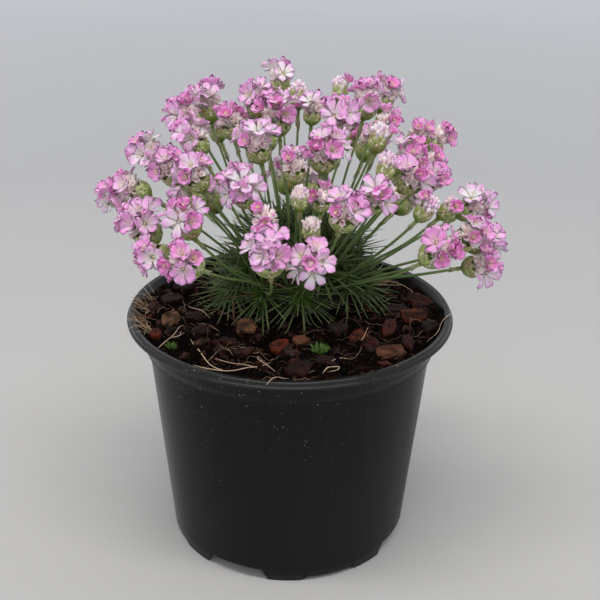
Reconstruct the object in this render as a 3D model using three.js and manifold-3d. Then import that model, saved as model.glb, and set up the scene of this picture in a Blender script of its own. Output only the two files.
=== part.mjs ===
// Juniper-leaved thrift, a low cushion of needle leaves with pink flower heads, in a black round
// nursery pot. Millimetres, +Z up. The origin is on the pot's axis at the ground, and the front of
// the plant looks towards -Y.

import * as THREE from 'three';
import { mergeVertices } from 'three/addons/utils/BufferGeometryUtils.js';
import Module from 'manifold-3d';

const wasm = await Module();
wasm.setup();

// Clearance between two pieces that touch
const clearance = 0.3;

// Pot: a tapered body, a wider collar near the top, and a rolled lip on a foot ring with notches
const potHeight = 97.6;
const rimRadius = 65;
const rimThickness = 2.2;
const collarTopRadius = 61;
const collarBottomRadius = 58;
const collarBottom = 84.6;
const collarStep = 1;
const bodyTopRadius = 56.7;
const footRadius = 49;
const potWall = 1.3;
const lipRounding = 0.8;
const lipTopWidth = 2.6;
const footRingTop = 1.7;
const footRingEdge = 1.9;
const basePlateBottom = 5;
const basePlateTop = 6.4;
const potSides = 32;
const deepNotch = { first: -25, width: 26, height: 4.6 };
const shallowNotch = { first: 20, width: 21, height: 1.4 };
const notchSlant = 2.5;
const notchCutDepth = 20;
const drainHoleRadius = 4;
const drainHoleCircle = 36;
const drainHoleSides = 10;
const quarters = [0, 90, 180, 270];

// Soil: fills the pot to a few millimetres below the rim, and is banked up against its two sides
const soilLevel = 92.6;
const soilRelief = 1.2;
const soilBank = 1.8;
const soilBankStart = 38;
const soilEdgeRadius = 58.1;
const soilEdgeDrop = 0.8;
const soilGap = 0.6;
const soilSides = 28;
const soilRings = [50, 40, 29];
const plantSeat = 94;
const plantSeatRadius = 26;
const plantSeatSlope = 12;
const chipSunk = 0.2;
const chipRadius = 0.58;

// Plant: the middle of its leaf cushion, and the stock that it grows from
const plantX = 3;
const plantY = 19;
const stockRadius = 7;
const stockDepth = 24;
const stockSides = 10;
const stockHoleSides = 12;
const cushionRadiusX = 25;
const cushionRadiusY = 21.5;
const cushionHeight = 27.6;
const cushionSides = 16;
const cushionRings = 5;

// Needle leaves: three-sided, rooted in the cushion and fanned out in rosettes
const needleCount = 250;
const needleLength = 17;
const needleRadius = 0.75;
const needleRootDepth = 1.6;
const needleLowest = 0.1;
const needleLift = 0.25;
const needleScatter = 0.3;
const rosetteCount = 26;
const rosetteLowest = 0.08;
const rosetteFan = 1.8;

// Stalks: from the middle of the cushion to the green cup under each head
const stalkRadius = 0.75;
const stalkSides = 5;
const stalkRootSpread = 0.22;
const stalkRootReach = 13;
const stalkRootHeight = 6;
const stalkBend = 0.42;
const stalkStraightness = 0.5;
const stalkSteps = 3;
const cupDepth = 0.4;
const cupShoulder = 0.16;
const cupFlare = 0.02;
const headFoot = 0.42;
const domeX = 3;
const domeY = 8;

// Heads that show from the front: x, y, z of the middle, width across the petals, lean from upright
const openHeads = [
  [-5, 34, 184, 12, 8], [-34, 26, 176, 15, 12], [-42, 13, 173, 15, 35], [-24, 6, 173, 13, 14],
  [-32, 37, 162, 11, 30], [-38, -2, 169, 15, 26], [-15, 18, 179, 14, 20], [-6, -3, 179, 16, 10],
  [8, 14, 176, 11, 8], [-13, -19, 172, 15, 20], [-57, 9, 159, 15, 48], [-47, -14, 160, 14, 40],
  [-36, -24, 161, 14, 34], [-64, 4, 146, 15, 62], [-74, 24, 135, 11, 70], [-18, -31, 158, 16, 40],
  [1, -28, 166, 12, 14], [-57, -17, 140, 18, 32], [-38, -38, 149, 15, 30], [-51, -33, 132, 13, 78],
  [-38, -48, 136, 16, 58], [-9, -42, 151, 13, 28], [-8, -56, 144, 18, 30], [17, -6, 178, 15, 14],
  [29, 11, 181, 14, 12], [37, 26, 180, 14, 18], [36, 0, 174, 12, 26], [12, -22, 170, 16, 22],
  [49, 13, 167, 11, 20], [58, 19, 164, 13, 34], [44, -12, 165, 14, 36], [54, 3, 158, 12, 50],
  [19, -45, 155, 16, 34], [11, -32, 155, 10, 20], [7, -57, 140, 16, 60], [31, -37, 157, 13, 44],
  [44, -23, 160, 13, 40], [54, -9, 155, 12, 50], [72, 0, 142, 14, 52], [53, -42, 140, 16, 46],
  [66, -27, 140, 14, 44], [75, -13, 132, 14, 66], [72, -24, 126, 13, 72],
];

// Heads still closed, or with more green than pink
const closedHeads = [
  [2, 22, 181, 11, 5], [19, 31, 181, 10, 5], [3, -38, 158, 9, 10], [7, -44, 149, 10, 20],
  [32, -12, 173, 11, 14], [49, -31, 152, 11, 34], [59, -20, 148, 10, 40], [34, -25, 166, 11, 12],
];

// Heads on the far side: two rows of pairs round the back of the dome, bearings from the front
const farRows = [
  { pairs: 2, reach: 45, height: 158, width: 15, lean: 34, from: 152, to: 202 },
  { pairs: 3, reach: 49, height: 132, width: 15, lean: 54, from: 132, to: 228 },
];
const farSideways = 1.2;
const farUneven = 6;
const pairShare = 0.37;
const pairUneven = 1.5;

// Florets: sizes are shares of the head's width
const petalCount = 5;
const petalNotch = 0.6;
const floretReach = 0.4;
const floretRise = Math.PI / 12;
const throatDepth = 0.16;
const sideFloretRadius = { 3: 0.31, 4: 0.3, 5: 0.275 };
const topFloretRadius = 0.3;
const topFloretHeight = 0.74;
const heartHeight = 0.31;
const coreRadius = 0.13;
const coreHeight = 0.44;
const openCupShare = 0.26;
const closedCupShare = 0.4;

// Closed head: rings of [radius, height] shares, first for the raised corners, then for those between
const closedRings = [
  [[0.3, 0], [0.3, 0]],
  [[0.44, 0.3], [0.4, 0.3]],
  [[0.34, 0.78], [0.3, 0.56]],
  [[0.2, 0.74], [0.14, 0.56]],
];
const closedTop = 0.78;

// Widths from which a head has one more side floret
const fourFloretWidth = 12.5;
const fiveFloretWidth = 15.5;

// Seeds of the random draws: needles, heads that show from the front, and heads on the far side
const needleSeed = 41;
const headSeed = 4;
const farSeed = 3;

const colours = {
  pot: { color: 0x1c1c1d, roughness: 0.42, metalness: 0 },
  soil: { color: 0x2a1c15, roughness: 0.95, metalness: 0 },
  stock: { color: 0x4a3626, roughness: 0.9, metalness: 0 },
  leaf: { color: 0x3f5f35, roughness: 0.6, metalness: 0 },
  petal: { color: 0xe2a2da, roughness: 0.55, metalness: 0 },
  closedPetal: { color: 0xe6bcd0, roughness: 0.6, metalness: 0 },
};

const radians = (degrees) => (degrees * Math.PI) / 180;

// A repeatable run of numbers from 0 to 1
function seededNumbers(start) {
  let state = start;
  return () => {
    state = (state * 1664525 + 1013904223) % 4294967296;
    return state / 4294967296;
  };
}

// A closed geometry as a solid that can be joined and cut
function toSolid(geometry) {
  const bare = geometry.clone();
  bare.deleteAttribute('normal');
  bare.deleteAttribute('uv');
  const merged = mergeVertices(bare, 1e-4);
  const corners = merged.index.array;
  const triangles = [];
  for (let i = 0; i < corners.length; i += 3) {
    const [a, b, c] = corners.slice(i, i + 3);
    if (a !== b && b !== c && c !== a) triangles.push(a, b, c);
  }
  return new wasm.Manifold(new wasm.Mesh({
    numProp: 3,
    vertProperties: new Float32Array(merged.attributes.position.array),
    triVerts: new Uint32Array(triangles),
  }));
}

// A joined or cut solid as a geometry again
function toGeometry(solid) {
  const mesh = solid.getMesh();
  const geometry = new THREE.BufferGeometry();
  geometry.setAttribute('position', new THREE.BufferAttribute(mesh.vertProperties, 3));
  geometry.setIndex(new THREE.BufferAttribute(mesh.triVerts, 1));
  geometry.computeVertexNormals();
  return geometry;
}

// A geometry from plain lists of points and of triangles between them
function fromLists(points, triangles) {
  const geometry = new THREE.BufferGeometry();
  const numbers = points.flatMap((point) => [point.x, point.y, point.z]);
  geometry.setAttribute('position', new THREE.Float32BufferAttribute(numbers, 3));
  geometry.setIndex(triangles);
  return geometry;
}

// A profile of [radius, height] points turned about Z
function turned(profile, sides) {
  const outline = profile.map(([radius, height]) => new THREE.Vector2(radius, height));
  return new THREE.LatheGeometry(outline, sides).rotateX(Math.PI / 2);
}

// A tube through the points, with its own radius at each, closed at both ends;
// a radius of 0 at the last point makes a sharp tip
function loft(points, radii, sides) {
  const vertices = [points[0]];
  const triangles = [];
  const along = new THREE.Vector3().subVectors(points[1], points[0]).normalize();
  const helper = Math.abs(along.z) < 0.9 ? new THREE.Vector3(0, 0, 1) : new THREE.Vector3(1, 0, 0);
  const side = new THREE.Vector3().crossVectors(along, helper).normalize();
  const sharp = radii[radii.length - 1] === 0;
  const ringCount = sharp ? points.length - 1 : points.length;
  for (let i = 0; i < ringCount; i += 1) {
    const before = points[Math.max(i - 1, 0)];
    const after = points[Math.min(i + 1, points.length - 1)];
    along.subVectors(after, before).normalize();
    side.addScaledVector(along, -side.dot(along)).normalize();
    const other = new THREE.Vector3().crossVectors(along, side);
    for (let k = 0; k < sides; k += 1) {
      const turn = (2 * Math.PI * k) / sides;
      vertices.push(points[i].clone()
        .addScaledVector(side, radii[i] * Math.cos(turn))
        .addScaledVector(other, radii[i] * Math.sin(turn)));
    }
  }
  const end = vertices.length;
  vertices.push(points[points.length - 1]);
  for (let k = 0; k < sides; k += 1) {
    const next = (k + 1) % sides;
    triangles.push(0, 1 + next, 1 + k);
    for (let i = 0; i < ringCount - 1; i += 1) {
      const ring = 1 + i * sides;
      triangles.push(ring + k, ring + next, ring + sides + k);
      triangles.push(ring + next, ring + sides + next, ring + sides + k);
    }
    const last = 1 + (ringCount - 1) * sides;
    triangles.push(end, last + k, last + next);
  }
  return fromLists(vertices, triangles);
}

// The turn that carries +Z onto a direction, after a roll about +Z
function facing(direction, roll) {
  const turn = new THREE.Quaternion().setFromUnitVectors(new THREE.Vector3(0, 0, 1), direction);
  return turn.multiply(new THREE.Quaternion().setFromAxisAngle(new THREE.Vector3(0, 0, 1), roll));
}

// A copy of a geometry, turned to a direction and moved to a place
function placed(geometry, place, direction, roll, scale = 1) {
  const size = new THREE.Vector3(scale, scale, scale);
  const matrix = new THREE.Matrix4().compose(place, facing(direction, roll), size);
  return geometry.clone().applyMatrix4(matrix);
}

// Inner radius of the pot's body wall at a height
function bodyInside(height) {
  const share = height / collarBottom;
  return footRadius + (bodyTopRadius - footRadius) * share - potWall;
}

// A block that cuts a slanted notch out of the foot ring at a bearing
function notchCutter(notch, bearing) {
  const half = footRadius * Math.sin(radians(notch.width / 2));
  const outline = new THREE.Shape([
    new THREE.Vector2(-half - notchSlant, -1),
    new THREE.Vector2(half + notchSlant, -1),
    new THREE.Vector2(half, notch.height),
    new THREE.Vector2(-half, notch.height),
  ]);
  const block = new THREE.ExtrudeGeometry(outline, { depth: notchCutDepth, bevelEnabled: false });
  block.rotateX(Math.PI / 2).translate(0, -footRadius + notchCutDepth / 2, 0);
  return block.rotateZ(radians(bearing));
}

function makePot() {
  const lipBottom = potHeight - rimThickness;
  const profile = [
    [0, basePlateBottom],
    [footRadius - footRingTop, basePlateBottom],
    [footRadius - footRingEdge, 0],
    [footRadius, 0],
    [bodyTopRadius, collarBottom - collarStep],
    [collarBottomRadius, collarBottom],
    [collarTopRadius, lipBottom],
    [rimRadius, lipBottom],
    [rimRadius, potHeight - lipRounding],
    [rimRadius - lipRounding, potHeight],
    [rimRadius - lipTopWidth, potHeight],
    [collarTopRadius - potWall, lipBottom - potWall],
    [collarBottomRadius - potWall, collarBottom + collarStep],
    [bodyTopRadius - potWall, collarBottom],
    [bodyInside(basePlateTop), basePlateTop],
    [0, basePlateTop],
  ];
  let pot = toSolid(turned(profile, potSides));
  for (const quarter of quarters) {
    pot = pot.subtract(toSolid(notchCutter(deepNotch, deepNotch.first + quarter)));
    pot = pot.subtract(toSolid(notchCutter(shallowNotch, shallowNotch.first + quarter)));
    const hole = new THREE.CylinderGeometry(drainHoleRadius, drainHoleRadius, 10, drainHoleSides);
    hole.rotateX(Math.PI / 2).translate(drainHoleCircle, 0, basePlateBottom);
    hole.rotateZ(radians(45 + quarter));
    pot = pot.subtract(toSolid(hole));
  }
  return toGeometry(pot);
}

// Height of the soil at a place: lumps from a few crossed waves, banked up towards the left and right
// wall, and level under the plant
function soilHeight(x, y) {
  const lumps = 0.5 * Math.sin(x * 0.21 + 1.3) * Math.cos(y * 0.19)
    + 0.3 * Math.sin(x * 0.11 - y * 0.33)
    + 0.2 * Math.cos(x * 0.43 + y * 0.37);
  const reach = Math.hypot(x, y);
  const sideways = (x / Math.max(reach, 1)) ** 2;
  const bank = soilBank * sideways * THREE.MathUtils.smoothstep(reach, soilBankStart, soilEdgeRadius);
  const away = Math.hypot(x - plantX, y - plantY);
  const open = THREE.MathUtils.smoothstep(away, plantSeatRadius, plantSeatRadius + plantSeatSlope);
  return THREE.MathUtils.lerp(plantSeat, soilLevel + soilRelief * lumps + bank, open);
}

// Bark chips on the soil: x, y, length, width, thickness, bearing and tilt in degrees
const barkChips = [
  [-47, -8, 15, 6, 4, 60, 12], [-17, -13, 11, 8, 4, 15, 8], [-4, -31, 11, 6, 5, 60, 10],
  [3, -47, 14, 6, 5, -20, 14], [19, -14, 12, 6, 4, 5, -8], [26, -21, 13, 5, 4, 70, 8],
  [38, -34, 13, 7, 4, 5, -12], [46, -2, 12, 7, 4, 80, 10], [39, -13, 11, 4, 3, -55, 14],
  [-34, -28, 9, 5, 4, 40, 6],
];

function makeSoil() {
  const edgeLevel = soilLevel - soilEdgeDrop;
  const profile = [
    [0, basePlateTop + clearance],
    [bodyInside(basePlateTop) - soilGap, basePlateTop + clearance],
    [bodyTopRadius - potWall - soilGap, collarBottom],
    [collarBottomRadius - potWall - soilGap, collarBottom + 2 * collarStep],
    [soilEdgeRadius, edgeLevel],
    ...soilRings.map((radius) => [radius, soilLevel]),
    [0, soilLevel],
  ];
  const bed = turned(profile, soilSides);
  const spot = new THREE.Vector3();
  const places = bed.attributes.position;
  for (let i = 0; i < places.count; i += 1) {
    spot.fromBufferAttribute(places, i);
    if (spot.z > edgeLevel - 0.01) places.setZ(i, soilHeight(spot.x, spot.y) + spot.z - soilLevel);
  }
  let soil = toSolid(bed);
  for (const [x, y, length, width, thickness, bearing, tilt] of barkChips) {
    const chip = new THREE.IcosahedronGeometry(chipRadius, 0).scale(length, width, thickness);
    chip.rotateX(radians(tilt)).rotateZ(radians(bearing));
    chip.translate(x, y, soilHeight(x, y) + chipSunk * thickness);
    soil = soil.add(toSolid(chip));
  }
  const holeRadius = stockRadius + clearance;
  const holeBottom = plantSeat - stockDepth - 2 * clearance;
  const holeLength = 1.5 * stockDepth;
  const hole = new THREE.CylinderGeometry(holeRadius, holeRadius, holeLength, stockHoleSides);
  hole.rotateX(Math.PI / 2).translate(plantX, plantY, holeBottom + holeLength / 2);
  return toGeometry(soil.subtract(toSolid(hole)));
}

// The woody stock, buried to its top under the cushion
function makeStock() {
  const profile = [
    [0, -stockDepth],
    [0.3 * stockRadius, -stockDepth],
    [0.65 * stockRadius, -0.55 * stockDepth],
    [0.86 * stockRadius, -0.16 * stockDepth],
    [0.92 * stockRadius, 0],
    [0, 0],
  ];
  return turned(profile, stockSides).translate(plantX, plantY, plantSeat);
}

// Even directions over a half globe, by the sunflower rule, as unit vectors with z from 0 to 1
function domeDirections(count, lowest) {
  const golden = Math.PI * (3 - Math.sqrt(5));
  const directions = [];
  for (let i = 0; i < count; i += 1) {
    const z = 1 - ((1 - lowest) * (i + 0.5)) / count;
    const flat = Math.sqrt(1 - z * z);
    directions.push(new THREE.Vector3(flat * Math.cos(i * golden), flat * Math.sin(i * golden), z));
  }
  return directions;
}

const cushionMiddle = new THREE.Vector3(plantX, plantY, plantSeat + clearance);
const cushionSize = new THREE.Vector3(cushionRadiusX, cushionRadiusY, cushionHeight);

function cushionCore() {
  const profile = [[0, 0]];
  for (let i = 0; i <= cushionRings; i += 1) {
    const rise = (Math.PI / 2) * (i / cushionRings);
    profile.push([Math.cos(rise), Math.sin(rise)]);
  }
  profile[profile.length - 1][0] = 0;
  const dome = turned(profile, cushionSides);
  dome.scale(cushionSize.x, cushionSize.y, cushionSize.z);
  return dome.translate(cushionMiddle.x, cushionMiddle.y, cushionMiddle.z);
}

// Needles: each leaves the cushion square to it and leans away from the middle of its rosette
function makeNeedles(random) {
  const rosettes = domeDirections(rosetteCount, rosetteLowest);
  return domeDirections(needleCount, needleLowest).map((spot) => {
    const nearest = rosettes.reduce((best, r) => (r.dot(spot) > best.dot(spot) ? r : best));
    const outward = spot.clone().divide(cushionSize).normalize();
    const fan = new THREE.Vector3().subVectors(spot, nearest).multiplyScalar(rosetteFan);
    const way = outward.clone().add(fan);
    way.x += needleScatter * (random() - 0.5);
    way.y += needleScatter * (random() - 0.5);
    way.z += needleLift + needleScatter * random();
    way.normalize();
    way.z = Math.max(way.z, needleLowest);
    way.normalize();
    const root = spot.clone().multiply(cushionSize).add(cushionMiddle);
    root.addScaledVector(outward, -needleRootDepth);
    const length = needleRootDepth + needleLength * (0.82 + 0.3 * random());
    const tip = root.clone().addScaledVector(way, length);
    return loft([root, tip], [needleRadius, 0], 3);
  });
}

// Where a head stands: its axis leans away from the middle of the dome
function headPose([x, y, z, width, lean]) {
  const middle = new THREE.Vector3(x, y, z);
  const away = new THREE.Vector3(x - domeX, y - domeY, 0).normalize();
  const axis = away.multiplyScalar(Math.sin(radians(lean)));
  axis.z = Math.cos(radians(lean));
  const base = middle.addScaledVector(axis, -headFoot * width);
  return { axis, base, width };
}

// A stalk with the green cup at its end, as one tube. It leaves the cup half way between the cup's
// axis and the straight line to its root.
function makeStalk(pose, cupShare) {
  const { axis, base, width } = pose;
  const cupTop = base.clone().addScaledVector(axis, -clearance);
  const shoulder = cupTop.clone().addScaledVector(axis, -cupShoulder * width);
  const neck = cupTop.clone().addScaledVector(axis, -cupDepth * width);
  const rootOffset = new THREE.Vector3(neck.x - plantX, neck.y - plantY, 0);
  rootOffset.multiplyScalar(stalkRootSpread).clampLength(0, stalkRootReach);
  const root = new THREE.Vector3(plantX, plantY, cushionMiddle.z + stalkRootHeight).add(rootOffset);
  const straight = new THREE.Vector3().subVectors(neck, root).normalize();
  const way = axis.clone().lerp(straight, stalkStraightness).normalize();
  const bend = neck.clone().addScaledVector(way, -stalkBend * neck.distanceTo(root));
  const path = new THREE.QuadraticBezierCurve3(root, bend, neck).getPoints(stalkSteps);
  const radii = path.map(() => stalkRadius);
  path.push(shoulder, cupTop);
  radii.push(cupShare * width, (cupShare + cupFlare) * width);
  return loft(path, radii, stalkSides);
}

// The rim of one floret: five petals round a dished throat, facing a direction
function addFloret(head, face, middle, direction, radius, roll) {
  const throat = middle.clone().addScaledVector(direction, -throatDepth * radius);
  const turn = facing(direction, roll);
  const across = new THREE.Vector3(1, 0, 0).applyQuaternion(turn);
  const along = new THREE.Vector3(0, 1, 0).applyQuaternion(turn);
  const first = head.points.length;
  const rim = [];
  for (let i = 0; i < 2 * petalCount; i += 1) {
    const reach = i % 2 === 0 ? radius : petalNotch * radius;
    const angle = (Math.PI * i) / petalCount;
    rim.push(first + i);
    head.points.push(middle.clone()
      .addScaledVector(across, reach * Math.cos(angle))
      .addScaledVector(along, reach * Math.sin(angle)));
  }
  head.points.push(throat);
  const throatIndex = first + rim.length;
  const angleOf = (index) => {
    const offset = head.points[index].clone().sub(middle);
    return Math.atan2(offset.dot(along), offset.dot(across));
  };
  const apart = (one, other) => Math.abs(Math.atan2(Math.sin(one - other), Math.cos(one - other)));
  const nearestCorner = (index) => face.reduce((best, corner) => (
    apart(angleOf(corner), angleOf(index)) < apart(angleOf(best), angleOf(index)) ? corner : best
  ));
  rim.forEach((point, i) => {
    const next = rim[(i + 1) % rim.length];
    const corner = nearestCorner(point);
    const nextCorner = nearestCorner(next);
    head.triangles.push(throatIndex, point, next);
    head.triangles.push(next, point, corner);
    if (corner !== nextCorner) head.triangles.push(next, corner, nextCorner);
  });
}

// An open head, made at a width of 1 with its foot at the origin and its axis along +Z. Its core is
// a small prism: a floret stands on each side of it and one on top.
function openHead(sides) {
  const head = { points: [], triangles: [] };
  const turnStep = (2 * Math.PI) / sides;
  for (const height of [0, coreHeight]) {
    for (let k = 0; k < sides; k += 1) {
      const turn = turnStep * (k - 0.5);
      const [x, y] = [coreRadius * Math.cos(turn), coreRadius * Math.sin(turn)];
      head.points.push(new THREE.Vector3(x, y, height));
    }
  }
  for (let k = 1; k < sides - 1; k += 1) head.triangles.push(0, k + 1, k);
  const heart = new THREE.Vector3(0, 0, heartHeight);
  const radius = sideFloretRadius[sides];
  for (let k = 0; k < sides; k += 1) {
    const next = (k + 1) % sides;
    const direction = new THREE.Vector3(
      Math.cos(turnStep * k) * Math.cos(floretRise),
      Math.sin(turnStep * k) * Math.cos(floretRise),
      Math.sin(floretRise),
    );
    const middle = heart.clone().addScaledVector(direction, floretReach);
    addFloret(head, [k, next, sides + next, sides + k], middle, direction, radius, 0.4 + k);
  }
  const topFace = Array.from({ length: sides }, (_, k) => sides + k);
  const up = new THREE.Vector3(0, 0, 1);
  addFloret(head, topFace, up.clone().multiplyScalar(topFloretHeight), up, topFloretRadius, 0.2);
  return fromLists(head.points, head.triangles);
}

// A closed head at a width of 1: a cup-shaped body crowned with folded florets
function closedHead() {
  const count = 2 * petalCount;
  const rings = closedRings.map(([raised, between]) => Array.from({ length: count }, (_, i) => {
    const turn = (Math.PI * i) / petalCount;
    const [radius, height] = i % 2 === 0 ? raised : between;
    return new THREE.Vector3(radius * Math.cos(turn), radius * Math.sin(turn), height);
  }));
  const top = new THREE.Vector3(0, 0, closedTop);
  const points = [new THREE.Vector3(0, 0, 0), ...rings.flat(), top];
  const topRing = 1 + (rings.length - 1) * count;
  const triangles = [];
  for (let k = 0; k < count; k += 1) {
    const next = (k + 1) % count;
    triangles.push(0, 1 + next, 1 + k);
    for (let low = 1; low < topRing; low += count) {
      triangles.push(low + k, low + next, low + count + k);
      triangles.push(low + next, low + count + next, low + count + k);
    }
    triangles.push(points.length - 1, topRing + k, topRing + next);
  }
  return fromLists(points, triangles);
}

// Number of side florets for a head's width
function sidesFor(width) {
  if (width < fourFloretWidth) return 3;
  return width < fiveFloretWidth ? 4 : 5;
}

// Heads on the far side of the dome, two by two, each pair grown into one another
function farPairs(random) {
  const pairs = [];
  for (const row of farRows) {
    for (let i = 0; i < row.pairs; i += 1) {
      const share = i / (row.pairs - 1);
      const bearing = radians(row.from + (row.to - row.from) * share);
      const tangent = new THREE.Vector3(Math.cos(bearing), Math.sin(bearing), 0);
      const middle = new THREE.Vector3(
        domeX + farSideways * row.reach * Math.sin(bearing),
        domeY - row.reach * Math.cos(bearing),
        row.height + farUneven * (random() - 0.5),
      );
      pairs.push([-1, 1].map((side) => {
        const { x, y, z } = middle.clone().addScaledVector(tangent, side * pairShare * row.width);
        return [x, y, z + pairUneven * side, row.width, row.lean];
      }));
    }
  }
  return pairs;
}

function named(name, geometry, colour) {
  const mesh = new THREE.Mesh(geometry, new THREE.MeshStandardMaterial(colour));
  mesh.name = name;
  return mesh;
}

function twoDigits(number) {
  return String(number).padStart(2, '0');
}

function fused(geometries) {
  return toGeometry(wasm.Manifold.union(geometries.map(toSolid)));
}

const headDraw = seededNumbers(headSeed);
const plant = new THREE.Group();
plant.add(named('pot', makePot(), colours.pot));
plant.add(named('soil', makeSoil(), colours.soil));
plant.add(named('root_stock', makeStock(), colours.stock));

const greenParts = [cushionCore(), ...makeNeedles(seededNumbers(needleSeed))];

// One head with its stalk and cup; the stalk and cup go to the green piece
function growHead(head, shape, cupShare, roll) {
  const pose = headPose(head);
  greenParts.push(makeStalk(pose, cupShare));
  return placed(shape, pose.base, pose.axis, roll, pose.width);
}

openHeads.forEach((head, i) => {
  const shape = openHead(sidesFor(head[3]));
  const bloom = growHead(head, shape, openCupShare, 2 * Math.PI * headDraw());
  plant.add(named(`flower_head_${twoDigits(i + 1)}`, bloom, colours.petal));
});
closedHeads.forEach((head, i) => {
  const bloom = growHead(head, closedHead(), closedCupShare, 2 * Math.PI * headDraw());
  plant.add(named(`closed_head_${twoDigits(i + 1)}`, bloom, colours.closedPetal));
});
farPairs(seededNumbers(farSeed)).forEach((pair, i) => {
  const blooms = pair.map((head) => growHead(head, openHead(4), openCupShare, 0));
  plant.add(named(`far_heads_${twoDigits(i + 1)}`, fused(blooms), colours.petal));
});
plant.add(named('cushion_and_stalks', fused(greenParts), colours.leaf));

export default plant;
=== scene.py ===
# Potted juniper-leaved thrift: a black nursery pot of dark peat, a cushion of needle leaves and a
# dome of pink flower heads. Shapes are worked out in millimetres and scaled when a mesh is made.
import math
import bpy
import numpy as np
from mathutils import Matrix, Vector


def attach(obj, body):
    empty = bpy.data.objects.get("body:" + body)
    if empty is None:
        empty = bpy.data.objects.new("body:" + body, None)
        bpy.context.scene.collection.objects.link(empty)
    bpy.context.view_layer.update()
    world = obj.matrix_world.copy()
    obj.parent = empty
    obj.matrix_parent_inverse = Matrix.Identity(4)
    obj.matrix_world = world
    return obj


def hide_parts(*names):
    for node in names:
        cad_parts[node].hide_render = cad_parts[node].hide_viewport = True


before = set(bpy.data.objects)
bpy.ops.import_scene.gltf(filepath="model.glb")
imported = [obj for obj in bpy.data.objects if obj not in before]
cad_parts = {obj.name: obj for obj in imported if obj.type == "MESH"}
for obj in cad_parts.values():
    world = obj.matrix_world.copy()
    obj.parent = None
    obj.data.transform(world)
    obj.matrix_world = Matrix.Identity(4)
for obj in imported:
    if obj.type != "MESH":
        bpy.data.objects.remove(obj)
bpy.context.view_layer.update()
mm = 0.001
goldenAngle = np.pi * (3 - np.sqrt(5))
anyTurn = 6.28  # upper limit of turns that are drawn at random
print("frame loaded with", len(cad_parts), "nodes")


# Mesh helpers. Points are (points, 3), or (copies, points, 3) for many copies of one piece.

# Angles once round, evenly apart
def circle(count):
    return np.linspace(0, 2 * np.pi, count, endpoint=False)


# Points by their radius and turn about the upright axis, and their height
def polar(radius, turn, height):
    return np.stack(np.broadcast_arrays(radius * np.cos(turn), radius * np.sin(turn), height), axis=-1)


def unit(vectors):
    return vectors / np.maximum(np.linalg.norm(vectors, axis=-1, keepdims=True), 1e-9)


# A direction well away from each axis: z, or x where the axis is nearly upright
def helperFor(axis):
    return np.where(np.abs(axis[:, 2:3]) < 0.9, [[0.0, 0.0, 1.0]], [[1.0, 0.0, 0.0]])


# Two directions square to each axis, turned by the roll, and the axis, as rows of (copies, 3, 3)
def squareFrames(axis, roll):
    side = unit(np.cross(axis, helperFor(axis)))
    other = np.cross(axis, side)
    cosine, sine = np.cos(roll)[:, None], np.sin(roll)[:, None]
    return np.stack([cosine * side + sine * other, cosine * other - sine * side, axis], axis=1)


# Points of each copy, given in its own frame, carried to its place
def carry(local, frames, place):
    spread = place.reshape(len(place), *(1,) * (local.ndim - 2), 3)
    return np.einsum("c...i,cij->c...j", local, frames) + spread


# Four-sided faces of a grid. With ring its last column joins its first, with closed its last row too.
def gridFaces(rows, columns, ring=False, closed=False):
    row, column = np.meshgrid(np.arange(rows - 1 + closed), np.arange(columns - 1 + ring), indexing="ij")
    here, below = row * columns, (row + 1) % rows * columns
    right = (column + 1) % columns
    return np.stack([here + column, here + right, below + right, below + column], axis=-1).reshape(-1, 4)


# Three-sided faces that close the first and last row of a ring grid on two points that come after it
def endFans(rows, columns):
    column = np.arange(columns)
    after = (column + 1) % columns
    pole, last = rows * columns, (rows - 1) * columns
    low = np.stack([np.full(columns, pole), after, column], axis=1)
    high = np.stack([np.full(columns, pole + 1), last + column, last + after], axis=1)
    return np.concatenate([low, high])


# A globe of radius 1 with single points at its poles, as points, four-sided and three-sided faces
def globe(rows, columns):
    rise = np.linspace(-np.pi / 2, np.pi / 2, rows)[1:-1, None]
    rings = polar(np.cos(rise), circle(columns), np.sin(rise)).reshape(-1, 3)
    points = np.concatenate([rings, [[0, 0, -1.0]], [[0, 0, 1.0]]])
    return points, gridFaces(rows - 2, columns, True), endFans(rows - 2, columns)


# An object at the origin of the scene
def putIn(name, data):
    thing = bpy.data.objects.new(name, data)
    bpy.context.scene.collection.objects.link(thing)
    return thing


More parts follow.
